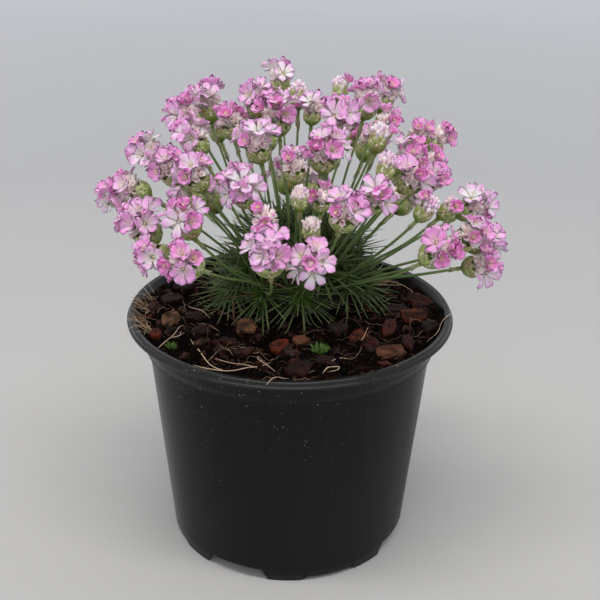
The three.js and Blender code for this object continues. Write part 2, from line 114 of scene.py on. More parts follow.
# Points, faces, material numbers and values, gathered before they become one mesh
class Parcel:
    def __init__(self):
        self.points, self.values, self.count = [], {}, 0
        self.faces = {sides: [np.zeros((0, sides), int)] for sides in (4, 3)}
        self.numbers = {sides: [np.zeros(0, int)] for sides in (4, 3)}

    # Takes the faces of one copy. A value is one number for all, for each copy or for each point.
    def add(self, points, quads, triangles=None, material=0, **values):
        copies, stride = points.shape[:2] if points.ndim == 3 else (1, len(points))
        starts = self.count + stride * np.arange(copies)[:, None, None]
        for faces in (quads, triangles):
            if faces is not None:
                sides = faces.shape[1]
                self.faces[sides].append((faces + starts).reshape(-1, sides))
                self.numbers[sides].append(np.full(copies * len(faces), material))
        for name, value in values.items():
            value = np.ravel(value)
            value = np.repeat(value, stride) if value.size == copies else value
            self.values.setdefault(name, []).append((self.count, copies * stride, value))
        self.points.append(points.reshape(-1, 3))
        self.count += copies * stride

    # Closed tubes along paths (copies, steps, 3): an ellipse of the two half sizes is carried along each
    # path, square to it, and both ends close on a middle point. With graded, along grows from 0 to 1.
    def tubes(self, paths, halfWide, halfThick, sides, graded=True, **values):
        copies, steps = paths.shape[:2]
        helper = helperFor(unit(paths[:, -1] - paths[:, 0]))
        way = unit(np.gradient(paths, axis=1))
        side = unit(np.cross(way, helper[:, None, :]))
        other = np.cross(side, way)
        turn = circle(sides)
        rings = (
            paths[:, :, None]
            + halfWide[..., None, None] * np.cos(turn)[:, None] * side[:, :, None]
            + halfThick[..., None, None] * np.sin(turn)[:, None] * other[:, :, None]
        )
        points = np.concatenate([rings.reshape(copies, -1, 3), paths[:, :1], paths[:, -1:]], axis=1)
        if graded:
            share = np.append(np.repeat(np.linspace(0, 1, steps), sides), [0, 1])
            values["along"] = np.tile(share, copies)
        quads, fans = gridFaces(steps, sides, True)[:, ::-1], endFans(steps, sides)[:, [0, 2, 1]]
        self.add(points, quads, fans, **values)

    # Thin closed leaves: each grid (copies, rows, columns, 3) gets an under side, pushed away from its
    # normal by the thickness, that meets it at the edge
    def leaves(self, top, thickness, along, across, **values):
        copies, rows, columns = top.shape[:3]
        normal = unit(np.cross(np.gradient(top, axis=2), np.gradient(top, axis=1)))
        under = (top - normal * thickness)[:, 1:-1, 1:-1]
        points = np.concatenate([top.reshape(copies, -1, 3), under.reshape(copies, -1, 3)], axis=1)
        faces = gridFaces(rows, columns)
        number = np.arange(rows * columns).reshape(rows, columns)
        number[1:-1, 1:-1] = rows * columns + np.arange((rows - 2) * (columns - 2)).reshape(rows - 2, -1)
        for name, value in (("along", along), ("across", across)):
            value = np.broadcast_to(value, (rows, columns))
            values[name] = np.tile(np.append(value, value[1:-1, 1:-1]), copies)
        self.add(points, np.concatenate([faces[:, ::-1], number.ravel()[faces]]), **values)

    # Copies of a globe in their frames, of a half width and half length, with along from 0 to 1 upwards
    def knobs(self, place, frames, wide, long, rows, columns, **values):
        ball, quads, fans = globe(rows, columns)
        size = np.stack([wide, wide, long], axis=1)
        values.setdefault("along", np.tile((ball[:, 2] + 1) / 2, len(place)))
        self.add(carry(ball * size[:, None, :], frames, place), quads, fans, **values)

    def build(self, name, materials, slot, *nodes, smooth=True):
        mesh = bpy.data.meshes.new(name)
        points = np.concatenate(self.points) * mm
        quads, triangles = np.concatenate(self.faces[4]), np.concatenate(self.faces[3])
        corners = np.concatenate([quads.ravel(), triangles.ravel()])
        starts = np.concatenate([4 * np.arange(len(quads)), quads.size + 3 * np.arange(len(triangles))])
        mesh.vertices.add(len(points))
        mesh.vertices.foreach_set("co", points.ravel())
        mesh.loops.add(len(corners))
        mesh.loops.foreach_set("vertex_index", corners)
        mesh.polygons.add(len(starts))
        mesh.polygons.foreach_set("loop_start", starts)
        mesh.polygons.foreach_set("material_index", np.concatenate(self.numbers[4] + self.numbers[3]))
        for label, parts in self.values.items():
            values = np.zeros(len(points), np.float32)
            for start, length, value in parts:
                values[start:start + length] = value
            mesh.attributes.new(label, "FLOAT", "POINT").data.foreach_set("value", values)
        mesh.update(calc_edges=True)
        mesh.polygons.foreach_set("use_smooth", np.full(len(starts), smooth))
        for material in materials:
            mesh.materials.append(material)
        piece = putIn(name, mesh)
        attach(piece, "root")
        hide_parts(*nodes)
        return piece


# Smooth random height about 0: a sum of cosine waves of about one length in random directions
def waves(x, y, length, seed, count=9):
    draw = np.random.default_rng(seed)
    total = np.zeros(np.broadcast(x, y).shape)
    for _ in range(count):
        way, shift = draw.uniform(0, 2 * np.pi, 2)
        turn = 2 * np.pi / (length * draw.uniform(0.75, 1.3))
        total = total + np.cos(turn * (x * math.cos(way) + y * math.sin(way)) + shift)
    return total / math.sqrt(count)


# A material with a Principled shader, and short calls that add and join its nodes. A source is a
# socket, or the name of a value that the mesh carries.
class Finish:
    def __init__(self, name, roughness, specular=0.5, through=0.0, depth=0.05):
        self.material = bpy.data.materials.new(name)
        self.material.use_nodes = True
        self.nodes = self.material.node_tree.nodes
        self.links = self.material.node_tree.links
        self.inputs = self.nodes["Principled BSDF"].inputs
        self.inputs["Roughness"].default_value = roughness
        self.inputs["Specular IOR Level"].default_value = specular
        self.inputs["Subsurface Weight"].default_value = through
        self.inputs["Subsurface Scale"].default_value = depth
        self.inputs["Subsurface Radius"].default_value = (1.0, 0.75, 0.85)
        self.coordinates = self.nodes.new("ShaderNodeTexCoord").outputs["Object"]

    def feed(self, socket, value):
        if isinstance(value, str):
            node = self.nodes.new("ShaderNodeAttribute")
            node.attribute_name = value
            value = node.outputs["Fac"]
        if hasattr(value, "links"):
            self.links.new(value, socket)
        elif socket.type == "RGBA":
            socket.default_value = (*value, 1.0)
        else:
            socket.default_value = value

    def texture(self, kind, **inputs):
        node = self.nodes.new("ShaderNodeTex" + kind)
        for label, value in inputs.items():
            self.feed(node.inputs[label], value)
        return node.outputs

    def noise(self, scale, detail=3.0, roughness=0.55, stretch=None):
        place = self.coordinates
        if stretch:
            node = self.nodes.new("ShaderNodeMapping")
            self.feed(node.inputs["Scale"], stretch)
            self.feed(node.inputs["Vector"], place)
            place = node.outputs["Vector"]
        return self.texture("Noise", Scale=scale, Detail=detail, Roughness=roughness, Vector=place)["Fac"]

    # Grows from 0 to 1 between two heights
    def height(self, low, high):
        split = self.nodes.new("ShaderNodeSeparateXYZ")
        self.feed(split.inputs["Vector"], self.coordinates)
        node = self.nodes.new("ShaderNodeMapRange")
        for label, value in (("From Min", low * mm), ("From Max", high * mm), ("Value", split.outputs["Z"])):
            self.feed(node.inputs[label], value)
        return node.outputs["Result"]

    # Each stop is a place from 0 to 1 and a colour or a grey
    def ramp(self, source, *stops):
        node = self.nodes.new("ShaderNodeValToRGB")
        while len(node.color_ramp.elements) < len(stops):
            node.color_ramp.elements.new(0.5)
        for element, (place, colour) in zip(node.color_ramp.elements, stops):
            element.position = place
            element.color = (*np.broadcast_to(colour, 3), 1.0)
        self.feed(node.inputs["Fac"], source)
        return node.outputs["Color"]

    def mix(self, share, first, second, kind="MIX"):
        node = self.nodes.new("ShaderNodeMix")
        node.data_type = "RGBA"
        node.blend_type = kind
        for label, value in (("Factor", share), ("A", first), ("B", second)):
            self.feed(node.inputs[label], value)
        return node.outputs["Result"]

    def times(self, first, second, share=1.0):
        return self.mix(share, first, second, "MULTIPLY")

    # A tint made darker and lighter in spots, from a low to a high factor
    def mottle(self, share, tint, spots, low, high, places=(0.3, 0.7)):
        return self.times(tint, self.ramp(spots, (places[0], low), (places[1], high)), share)

    def maths(self, kind, first, second=0.0):
        node = self.nodes.new("ShaderNodeMath")
        node.operation = kind
        self.feed(node.inputs[0], first)
        self.feed(node.inputs[1], second)
        return node.outputs["Value"]

    def scaled(self, source, factor):
        return self.maths("MULTIPLY", source, factor)

    def colour(self, source):
        self.feed(self.inputs["Base Color"], source)

    # Strength from 0 to 1, distance in millimetres
    def bump(self, source, strength, distance):
        node = self.nodes.new("ShaderNodeBump")
        for label, value in (("Strength", strength), ("Distance", distance * mm), ("Height", source)):
            self.feed(node.inputs[label], value)
        self.feed(self.inputs["Normal"], node.outputs["Normal"])


# Camera, floor and light

# Fitted to the outlines of the rim, the collar and the foot in the photo; angles in degrees
view = {
    "place": (0.0, -375.7, 268.8),
    "pitchDown": 24.16,
    "yawRight": 0.59,
    "roll": 0.87,
    "focalPixels": 1027.8,
    "imagePixels": 600,
    "sensor": 36.0,
    "nearest": 0.01,
    "farthest": 20.0,
}


def makeCamera():
    data = bpy.data.cameras.new("camera")
    data.sensor_width = view["sensor"]
    data.lens = view["sensor"] * view["focalPixels"] / view["imagePixels"]
    data.clip_start, data.clip_end = view["nearest"], view["farthest"]
    camera = putIn("camera", data)
    camera.matrix_world = Matrix.Translation([value * mm for value in view["place"]])
    for angle, axis in ((-view["yawRight"], "Z"), (90 - view["pitchDown"], "X"), (view["roll"], "Z")):
        camera.matrix_world = camera.matrix_world @ Matrix.Rotation(math.radians(angle), 4, axis)
    bpy.context.scene.camera = camera


# The floor in millimetres. Each light: name, place, width and depth in metres, power in watts, colour.
studio = {
    "floorRadius": 1400.0,
    "bendRadius": 700.0,
    "wallTop": 1100.0,
    "nearRadius": 150.0,
    "farRadius": 1700.0,
    # From near to far the floor's colour grows lighter: painted light that makes up for the lamps lighting
    # the far floor and wall less
    "nearColour": (0.50, 0.495, 0.485),
    "middleColour": (0.485, 0.49, 0.5),
    "farColour": (0.775, 0.79, 0.83),
    "worldColour": (0.935, 0.935, 0.945),
    "worldStrength": 0.68,
    "lights": [
        ("key_light", (-0.05, -0.35, 1.45), (1.7, 0.22), 12.0, (1.0, 0.985, 0.965)),
        ("front_light", (-0.1, -1.45, 0.95), (1.2, 0.5), 3.6, (1.0, 1.0, 1.0)),
        ("left_light", (-1.15, 0.15, 0.55), (0.4, 1.1), 0.5, (1.0, 1.0, 1.0)),
        ("right_light", (1.15, 0.15, 0.55), (0.4, 1.1), 0.5, (1.0, 1.0, 1.0)),
    ],
    "lightTarget": (0.0, 0.0, 0.12),
}


# Floor and wall in one sweep about the upright axis: a flat disc, a quarter circle up, an upright wall
def makeStage():
    arc = np.linspace(0, np.pi / 2, 16)
    reach, bend, columns = studio["floorRadius"], studio["bendRadius"], 64
    flat = [40.0, studio["nearRadius"], 300.0, 600.0, 1000.0]
    radius = np.array([*flat, *(reach + bend * np.sin(arc)), reach + bend])
    height = np.array([*(0 * np.array(flat)), *(bend * (1 - np.cos(arc))), studio["wallTop"]])
    rings = polar(radius[:, None], circle(columns), height[:, None]).reshape(-1, 3)
    points = np.concatenate([rings, [[0.0, 0.0, 0.0]]])
    middle = endFans(len(radius), columns)[:columns, [0, 2, 1]]
    sides = gridFaces(len(radius), columns, True)[:, ::-1]
    mesh = bpy.data.meshes.new("floor")
    mesh.from_pydata((points * mm).tolist(), [], sides.tolist() + middle.tolist())
    mesh.polygons.foreach_set("use_smooth", np.full(len(mesh.polygons), True))
    away = np.hypot(points[:, 0], points[:, 1]) - studio["nearRadius"]
    away = np.clip(away / (studio["farRadius"] - studio["nearRadius"]), 0, 1)
    mesh.attributes.new("away", "FLOAT", "POINT").data.foreach_set("value", away.astype(np.float32))
    paper = Finish("paper", 0.85)
    # The paper is painted lighter towards the wall: painted light for the fall-off of the lamps
    colours = [studio[name] for name in ("nearColour", "middleColour", "farColour")]
    shade = paper.ramp("away", *zip((0.0, 0.25, 1.0), colours))
    paper.colour(paper.mottle(0.04, shade, paper.noise(6), 0.8, 1.2))
    mesh.materials.append(paper.material)
    floor = putIn("floor", mesh)


def makeStudio():
    scene = bpy.context.scene
    makeCamera()
    makeStage()
    scene.world = bpy.data.worlds.new("studio")
    scene.world.use_nodes = True
    back = scene.world.node_tree.nodes["Background"]
    back.inputs["Color"].default_value = (*studio["worldColour"], 1.0)
    back.inputs["Strength"].default_value = studio["worldStrength"]
    for name, place, size, power, colour in studio["lights"]:
        data = bpy.data.lights.new(name, "AREA")
        data.shape = "RECTANGLE"
        data.size, data.size_y = size
        data.energy = power
        data.color = colour
        lamp = putIn(name, data)
        lamp.rotation_mode = "QUATERNION"
        away = Vector(place) - Vector(studio["lightTarget"])
        lamp.rotation_quaternion = away.to_track_quat("Z", "Y")
        lamp.location = place
    scene.view_settings.view_transform = "Standard"


makeStudio()
print("camera, floor and light are made")


# Pot

# A row of the profile is a ring of points; bodyRows are the heights of those on the straight body
pot = {
    "rimRadius": 65.0,
    "height": 97.6,
    "lipHeight": 2.8,
    "collarTopRadius": 61.0,
    "collarBottomRadius": 58.0,
    "collarBottom": 84.6,
    "bodyTopRadius": 56.7,
    "bodyRows": [7.0, 9.0, 20.0, 35.0, 50.0, 65.0, 80.0],
    "footRadius": 49.0,
    "footTop": 5.4,
    "wall": 1.3,
    "plateBottom": 5.0,
    "plateTop": 6.4,
    "bearings": 360,
    "notches": [
        {"first": -25.0, "halfWidth": 13.0, "height": 4.6},
        {"first": 20.0, "halfWidth": 10.5, "height": 1.4},
    ],
    "notchSlant": 3.0,
    "holeRadius": 4.0,
    "holeCircle": 36.0,
    "holeSides": 40,
    "cutterDepth": 20.0,
    "sharpAngle": 50.0,
    "bodyShine": {"specular": 0.1, "roughness": 0.2},
    "lipShine": {"specular": 0.34, "roughness": 0.1},
}


# Outer radius of the straight body wall at a height
def bodyRadius(height):
    share = height / (pot["collarBottom"] - 1.0)
    return pot["footRadius"] + (pot["bodyTopRadius"] - pot["footRadius"]) * share


# Points of an arc that rounds a corner of a profile, from one angle to another in degrees
def corner(radius, height, size, start, end, count):
    turn = np.radians(np.linspace(start, end, count))
    return np.stack([radius + size * np.cos(turn), height + size * np.sin(turn)], axis=1)


# Height of the foot's lower edge: 0 between the notches, with a slanted rise at each side
def notchHeight(bearing):
    height = np.zeros_like(bearing)
    for notch in pot["notches"]:
        for quarter in range(4):
            away = np.abs((bearing - notch["first"] - 90 * quarter + 180) % 360 - 180)
            rise = (notch["halfWidth"] + pot["notchSlant"] - away) / pot["notchSlant"]
            height = np.maximum(height, notch["height"] * np.clip(rise, 0, 1))
    return height


# Rows of radius and height from the plate's underside out to the foot, up the outside, over the rolled
# lip and down the inside to the plate. The foot's rows follow notchHeight.
def potRows(bearing):
    rim, top, wall, body = pot["rimRadius"], pot["height"], pot["wall"], pot["bodyTopRadius"]
    collar, step, ledge = pot["collarTopRadius"], pot["collarBottomRadius"], pot["collarBottom"]
    lipBottom = top - pot["lipHeight"]
    heights = np.array(pot["bodyRows"])
    straight = np.stack([bodyRadius(heights), heights], axis=1)
    edge = notchHeight(bearing)
    lifted = np.maximum(edge + 0.3, pot["footTop"])
    inside = pot["footRadius"] - wall - 0.4
    foot = [
        (inside, pot["plateBottom"]), (inside - 0.1, edge + 0.25), (inside + 0.1, edge),
        (bodyRadius(edge) - 0.3, edge), (bodyRadius(edge + 0.25), edge + 0.25),
        (bodyRadius(lifted), lifted),
    ]
    outside = [
        *straight,
        *corner(body + 0.4, ledge - 1.4, 0.4, 180, 100, 5),
        *corner(step - 0.3, ledge - 0.2, 0.5, -70, 10, 6),
        (step + 0.55, ledge + 2.2), (step + 0.75, ledge + 2.5), (step + 1.3, ledge + 4.5),
        (collar - 0.3, lipBottom - 1.2),
        *corner(collar + 0.5, lipBottom - 0.8, 0.6, 180, 100, 5),
    ]
    lip = [
        *corner(rim - 0.6, lipBottom + 0.6, 0.55, -85, 80, 11),
        *corner(rim - 0.5, lipBottom + 1.34, 0.2, -100, -180, 4),
        *corner(rim - 1.6, top - 0.75, 0.75, 0, 88, 10),
        (rim - 2.4, top - 0.1),
        *corner(rim - 2.9, top - 0.7, 0.5, 80, 150, 5),
    ]
    inner = [
        (collar - wall - 0.1, lipBottom - 1.6), (step - wall + 0.2, ledge + 1.0),
        (body - wall, ledge - 0.8),
        *(straight[::-1] - [wall, 0]),
        (bodyRadius(pot["plateTop"]) - wall, pot["plateTop"]),
    ]
    return foot + outside, lip, inner


# The rows turned about the axis from the front. The value inside marks the inner wall, and the lip has
# the second material.
def makePotShape():
    bearing = np.linspace(0, 360, pot["bearings"], endpoint=False)
    outer, lip, inner = potRows(bearing)
    count, rows = pot["bearings"], outer + lip + inner
    rings = np.stack([polar(radius, np.radians(bearing), height) for radius, height in rows])
    ends = [[0, 0, pot["plateBottom"]], [0, 0, pot["plateTop"]]]
    points = np.concatenate([rings[..., [1, 0, 2]].reshape(-1, 3) * [1, -1, 1], ends])
    inside = np.repeat([0.0, 1.0, 0.0, 1.0], [len(outer + lip) * count, len(inner) * count, 1, 1])
    parcel = Parcel()
    parcel.add(points, gridFaces(len(rows), count, True), endFans(len(rows), count), inside=inside)
    parcel.numbers[4][-1][len(outer) * count:len(outer + lip) * count] = 1
    return parcel


# Black plastic: dust dots in patches that thicken upwards, smears, and soil that clings inside
def plasticFinish(name, shine):
    plastic = Finish(name, 0.25, shine["specular"])
    smooth, rough = shine["roughness"], 1.6 * shine["roughness"]
    cloudy = plastic.noise(14, 4)
    uneven = plastic.ramp(plastic.noise(240, 2), (0.38, 0.7), (0.62, 2.0))
    cells = plastic.texture("Voronoi", Scale=600, Vector=plastic.coordinates)["Distance"]
    dots = plastic.ramp(plastic.scaled(cells, uneven), (0.09, 1.0), (0.13, 0.0))
    where = plastic.ramp(plastic.noise(45, 4, 0.7), (0.46, 0.0), (0.56, 1.0))
    upper = plastic.ramp(plastic.height(20.0, pot["height"]), (0.1, 0.05), (0.6, 0.45), (0.85, 1.0))
    dust = plastic.times(plastic.times(dots, where), upper)
    smear = plastic.ramp(plastic.noise(1, 5, 0.6, (30, 30, 8)), (0.5, 0.0), (0.75, 1.0))
    low = plastic.height(pot["height"], pot["collarBottom"])
    patches = plastic.ramp(plastic.noise(110, 5, 0.7), (0.42, 0.0), (0.6, 1.0))
    dirt = plastic.times(plastic.ramp(low, (0.1, 0.0), (0.35, 1.0)), patches)
    dirt = plastic.times(dirt, "inside")
    base = plastic.ramp(cloudy, (0.3, (0.009, 0.009, 0.0091)), (0.7, (0.0135, 0.0132, 0.013)))
    base = plastic.mix(plastic.scaled(smear, 0.3), base, (0.02, 0.014, 0.011))
    base = plastic.mix(dirt, base, (0.035, 0.014, 0.009))
    plastic.colour(plastic.mix(dust, base, (0.36, 0.28, 0.2)))
    matt = plastic.mix(dust, plastic.ramp(cloudy, (0.3, smooth), (0.75, rough)), (0.8, 0.8, 0.8))
    matt = plastic.mix(dirt, matt, (0.9, 0.9, 0.9))
    matt = plastic.mix(plastic.scaled(smear, 0.5), matt, (0.6, 0.6, 0.6))
    plastic.feed(plastic.inputs["Roughness"], matt)
    plastic.bump(plastic.mix(0.3, plastic.noise(520), cloudy), 0.22, 0.05)
    return plastic.material


def makePot():
    finishes = [
        plasticFinish("black_plastic", pot["bodyShine"]),
        plasticFinish("lip_plastic", pot["lipShine"]),
    ]
    piece = makePotShape().build("pot_shell", finishes, "pot_plastic", "pot")
    bearings = np.radians(45 + 90 * np.arange(4))
    for place in polar(pot["holeCircle"], bearings, pot["plateBottom"]):
        bpy.ops.mesh.primitive_cylinder_add(
            vertices=pot["holeSides"], radius=pot["holeRadius"] * mm,
            depth=pot["cutterDepth"] * mm, location=place * mm,
        )
        cutter = bpy.context.object
        cut = piece.modifiers.new("drain_hole", "BOOLEAN")
        cut.operation = "DIFFERENCE"
        cut.object = cutter
        bpy.context.view_layer.objects.active = piece
        bpy.ops.object.modifier_apply(modifier=cut.name)
        bpy.data.objects.remove(cutter)
    sharp = piece.modifiers.new("edges", "EDGE_SPLIT")
    sharp.split_angle = math.radians(pot["sharpAngle"])


makePot()
print("pot is made")


# Soil

soil = {
    "level": 92.6,
    "relief": 1.2,
    "bank": 1.8,
    "bankStart": 38.0,
    "edgeRadius": 58.1,
    "bedRadius": 58.6,
    "wallGap": 0.35,
    "plantSeat": 94.0,
    "plantSeatRadius": 26.0,
    "plantSeatSlope": 12.0,
    "plantX": 3.0,
    "plantY": 19.0,
    "plantHollow": 20.0,
    "ringStep": 0.62,
    "bearings": 300,
    "crumbs": 3300,
    "lumps": 170,
    "flakes": 170,
    "looseFibres": 190,
    "fibreSteps": 18,
    "seed": 11,
}

# x, y, length, width, thickness, bearing, tilt in degrees, and tone from dark red 0 to tan 1
barkChips = [
    (-47, -8, 13, 6.5, 4, 65, 24, 0.98), (-49, 12, 12, 8, 4, 20, 10, 0.52),
    (-17, -13, 9.5, 9, 4, 15, 10, 0.9),
    (-4, -31, 11, 6, 5, 60, 28, 0.27), (0, -35, 5.5, 5, 4, 0, 6, 0.4), (3, -46, 10, 8, 5, -15, 12, 0.08),
    (19, -14, 9, 7.5, 4, 5, 10, 0.42), (26, -19, 11, 6, 4, 65, 24, 0.3), (39, -13, 16, 5.5, 4, 75, 16, 0.16),
    (49, -4, 11, 9, 4, 20, 18, 0.24), (38, -34, 13, 8, 4.5, 12, 14, 0.76), (45, -27, 11, 6, 3.5, 80, 18, 0.1),
    (4, -24, 7, 4, 3, 5, 10, 0.82), (-32, 18, 5, 4, 3, 40, 8, 0.2), (-51, -24, 6, 5, 4, -35, 10, 0.22),
    (-18, -34, 9, 5, 4, 20, 12, 0.62), (-35, -16, 9, 6, 3, 50, 6, 0.5), (-33, -28, 8, 5, 4, 40, 10, 0.68),
    (55, -13, 11, 7, 4, 60, 14, 0.04), (53, 9, 12, 8, 4, -30, 12, 0.1), (43, 6, 11, 6, 3.5, 10, 14, 0.03),
    (31, -25, 9, 6, 3.5, -40, 12, 0.12), (-45, 25, 11, 7, 4, 30, 10, 0.05), (-55, 2, 8, 5, 3, 80, 12, 0.1),
    (-38, -3, 9, 6, 3.5, -20, 10, 0.02), (-24, -24, 8, 5, 3, -30, 8, 0.04), (13, -39, 8, 5, 3, 25, 10, 0.02),
    (12, 48, 12, 7, 4, 30, 10, 0.7), (-28, 42, 10, 6, 4, -40, 12, 0.3), (40, 34, 11, 6, 4, 65, 8, 0.85),
]

# Root fibres on the soil, listed one by one: points of each curve as x, y and height above the soil
rootFibres = [
    [(-35, -44, 0.5), (-28, -48, 1.5), (-19, -50, 1.5), (-10, -46, 1.5), (-6, -40, 0.5)],
    [(-38, -23, 0.5), (-32, -38, 1), (-27, -46, 1.5), (-23, -47, 0.5)],
    [(-29, -38, 0.5), (-22, -42, 1), (-14, -47, 1.5), (-10, -47, 0.5)],
    [(-12, -34, 0.5), (-11, -43, 2.5), (-5, -48, 0.5)],
    [(-49, -34, 2), (-44, -25, 3.5), (-41, -14, 2)],
    [(-45, -25, 2), (-42, -24, 2.5), (-42, -19, 1)],
    [(-42, 9, 0.5), (-36, 2, 1.5), (-32, -3, 0.5)],
    [(12, -49, 0.5), (14, -46, 1.5), (18, -45, 1.5), (17, -47, 1), (14, -48, 0.5)],
    [(14, -40, 0.5), (18, -39, 1.5), (22, -37, 0.5)],
    [(27, -26, 3), (29, -21, 4), (31, -10, 1.5)],
    [(64, -7, 3.5), (61, -10, 4), (59, -13, 3), (57, -19, 2), (52, -26, 0.5)],
    [(-55, -16, 1.5), (-59, -22, 4.5), (-61, -29, 5), (-60, -34, 4)],
    [(-8, -64, 4), (-6, -63, 5.5), (-4, -61, 5), (0, -57, 3)],
    [(34, 32, 0.5), (42, 32, 2), (50, 24, 1.5), (53, 16, 0.5)],
    [(-20, 50, 0.5), (-10, 53, 2), (2, 52, 1.5), (8, 50, 0.5)],
]

mossTufts = [(11.5, -29.5, 4.4), (-44.5, -30.0, 1.9), (38, 40, 3.4), (-30, 47, 3.0)]

# Shares of a chip's thickness, and its reach and level there; how much larger and flatter it is made
chipShape = {
    "shares": [0, 0.12, 0.3, 0.42, 0.55, 0.68, 0.85, 1],
    "reach": [0.25, 0.6, 0.9, 1, 1.02, 0.95, 0.6, 0.2],
    "level": [-0.5, -0.5, -0.42, -0.2, 0.18, 0.4, 0.5, 0.52],
    "larger": 1.08,
    "flatter": 0.7,
    "lift": 0.32,
}

# Dry grass that has caught between the soil and the left rim, and hangs over it. It is carried above the
# soil by "carried" at the distances "reach" from the axis.
dryGrass = {
    "blades": 60,
    "fromBearing": 166.0,
    "toBearing": 202.0,
    "shortest": 4.0,
    "longest": 10.5,
    "halfWidth": 0.13,
    "lift": 1.6,
    "reach": [56, 59, 62, 65, 67],
    "carried": [0.6, 1.6, 4.0, 4.2, 3.6],
}

# Crumbs of soil that cling to the inside of the rim: bearing of the middle, half spread and number
wallCrumbs = {
    "groups": [(8.0, 34.0, 300), (182.0, 24.0, 200), (95.0, 50.0, 120)],
    "size": 0.34,
    "aboveSoil": 0.6,
    "underRim": 2.0,
}


# Smooth step: 0 below 0, 1 above 1, and 3 times the square less 2 times the cube between
def smooth(share):
    share = np.clip(share, 0, 1)
    return share * share * (3 - 2 * share)


# Height of the CAD soil: crossed waves, banked up towards the left and right wall, and level under the
# plant, with a smooth step from one to the other
def soilHeight(x, y):
    lumps = (
        0.5 * np.sin(x * 0.21 + 1.3) * np.cos(y * 0.19)
        + 0.3 * np.sin(x * 0.11 - y * 0.33)
        + 0.2 * np.cos(x * 0.43 + y * 0.37)
    )
    reach = np.hypot(x, y)
    bank = smooth((reach - soil["bankStart"]) / (soil["edgeRadius"] - soil["bankStart"]))
    bank = soil["bank"] * bank * (x / np.maximum(reach, 1.0)) ** 2
    away = np.hypot(x - soil["plantX"], y - soil["plantY"])
    share = smooth((away - soil["plantSeatRadius"]) / soil["plantSeatSlope"])
    bare = soil["level"] + soil["relief"] * lumps + bank
    return soil["plantSeat"] * (1 - share) + bare * share


# The CAD height with three sizes of smaller lumps added
def peatHeight(x, y):
    fine = 0.55 * waves(x, y, 9.0, 3) + 0.32 * waves(x, y, 4.0, 4) + 0.2 * waves(x, y, 1.9, 5)
    return soilHeight(x, y) + fine - 0.25


# Random places on the soil, evenly over its disc, kept off the stock of the plant
def soilPlaces(draw, count, edge=58.0):
    radius = edge * np.sqrt(draw.uniform(0, 1, 3 * count))
    bearing = draw.uniform(0, 2 * np.pi, 3 * count)
    x, y = radius * np.cos(bearing), radius * np.sin(bearing)
    free = np.hypot(x - soil["plantX"], y - soil["plantY"]) > soil["plantHollow"]
    return x[free][:count], y[free][:count]


# Copies of a globe, pulled out of shape at each point by up to jag, turned at random, scaled by their
# three sizes and moved
def scatter(parcel, draw, places, sizes, rows, columns, jag, tone):
    points, quads, fans = globe(rows, columns)
    rough = 1 + jag * draw.uniform(-1, 1, (len(places), len(points), 1))
    first = unit(draw.normal(size=(len(places), 3)))
    second = unit(np.cross(first, draw.normal(size=(len(places), 3))))
    turns = np.stack([first, second, np.cross(first, second)], axis=1)
    parcel.add(carry(points * rough * sizes[:, None, :], turns, places), quads, fans, tone=tone)


# The body of peat: a fine height field, with a skirt down the inside of the pot and a flat bottom
def makePeatBed():
    radius = np.append(np.arange(0.6, soil["bedRadius"] - 0.3, soil["ringStep"]), soil["bedRadius"])
    turn = circle(soil["bearings"])
    flat = polar(radius[:, None], turn, 0.0)
    top = np.stack([flat[..., 0], flat[..., 1], peatHeight(flat[..., 0], flat[..., 1])], axis=-1)[::-1]
    wall, ledge = pot["wall"] + soil["wallGap"], pot["collarBottom"]
    skirt = [
        (bodyRadius(pot["plateTop"]) - wall, pot["plateTop"] + 0.2),
        (bodyRadius(45.0) - wall, 45.0),
        (pot["bodyTopRadius"] - wall, ledge - 1.2),
        (pot["collarBottomRadius"] - wall, ledge + 1.4),
        (soil["bedRadius"] - 0.4, soil["level"] - 2.0),
    ]
    side = np.stack([polar(reach, turn, height) for reach, height in skirt])
    rows = np.concatenate([side, top])
    ends = [[0, 0, skirt[0][1]], [0, 0, float(peatHeight(0.0, 0.0))]]
    size = rows.shape[:2]
    parcel = Parcel()
    parcel.add(np.concatenate([rows.reshape(-1, 3), ends]), gridFaces(*size, True), endFans(*size))
    parcel.build("peat_bed", [peat], "potting_soil", "soil")


# Crumbs and lumps on the soil, and crumbs on the inside of the rim
def makeCrumbs():
    draw = np.random.default_rng(soil["seed"])
    parcel = Parcel()
    x, y = soilPlaces(draw, soil["crumbs"])
    size = draw.lognormal(-0.6, 0.42, (len(x), 1)) * draw.uniform(0.7, 1.25, (len(x), 3))
    places = np.stack([x, y, peatHeight(x, y) + 0.25 * size[:, 0]], axis=1)
    scatter(parcel, draw, places, size, 4, 5, 0.38, draw.uniform(0, 1, len(x)))
    x, y = soilPlaces(draw, soil["lumps"])
    size = draw.uniform(0.7, 1.8, (len(x), 1)) * draw.uniform(0.6, 1.4, (len(x), 3))
    places = np.stack([x, y, peatHeight(x, y) + 0.1 * size[:, 0]], axis=1)
    scatter(parcel, draw, places, size, 6, 7, 0.36, draw.uniform(0, 0.85, len(x)))
    top, level, ledge = pot["height"], soil["level"], pot["collarBottom"]
    slope = (pot["collarTopRadius"] - pot["collarBottomRadius"]) / (top - ledge)
    room = top - (wallCrumbs["aboveSoil"] + wallCrumbs["underRim"]) - level
    for middle, spread, count in wallCrumbs["groups"]:
        bearing = np.radians(middle + spread * draw.normal(size=count) * 0.5)
        height = level + wallCrumbs["aboveSoil"] + draw.uniform(0, 1, count) ** 1.6 * room
        wall = pot["collarBottomRadius"] - pot["wall"] + slope * (height - ledge) + 0.2
        size = draw.lognormal(0, 0.4, (count, 1)) * draw.uniform(0.7, 1.3, (count, 3))
        places, size = polar(wall, bearing, height), wallCrumbs["size"] * size
        scatter(parcel, draw, places, size, 4, 5, 0.3, draw.uniform(0.3, 0.9, count))
    parcel.build("peat_crumbs", [peatCrumb], "potting_soil", "soil", smooth=False)


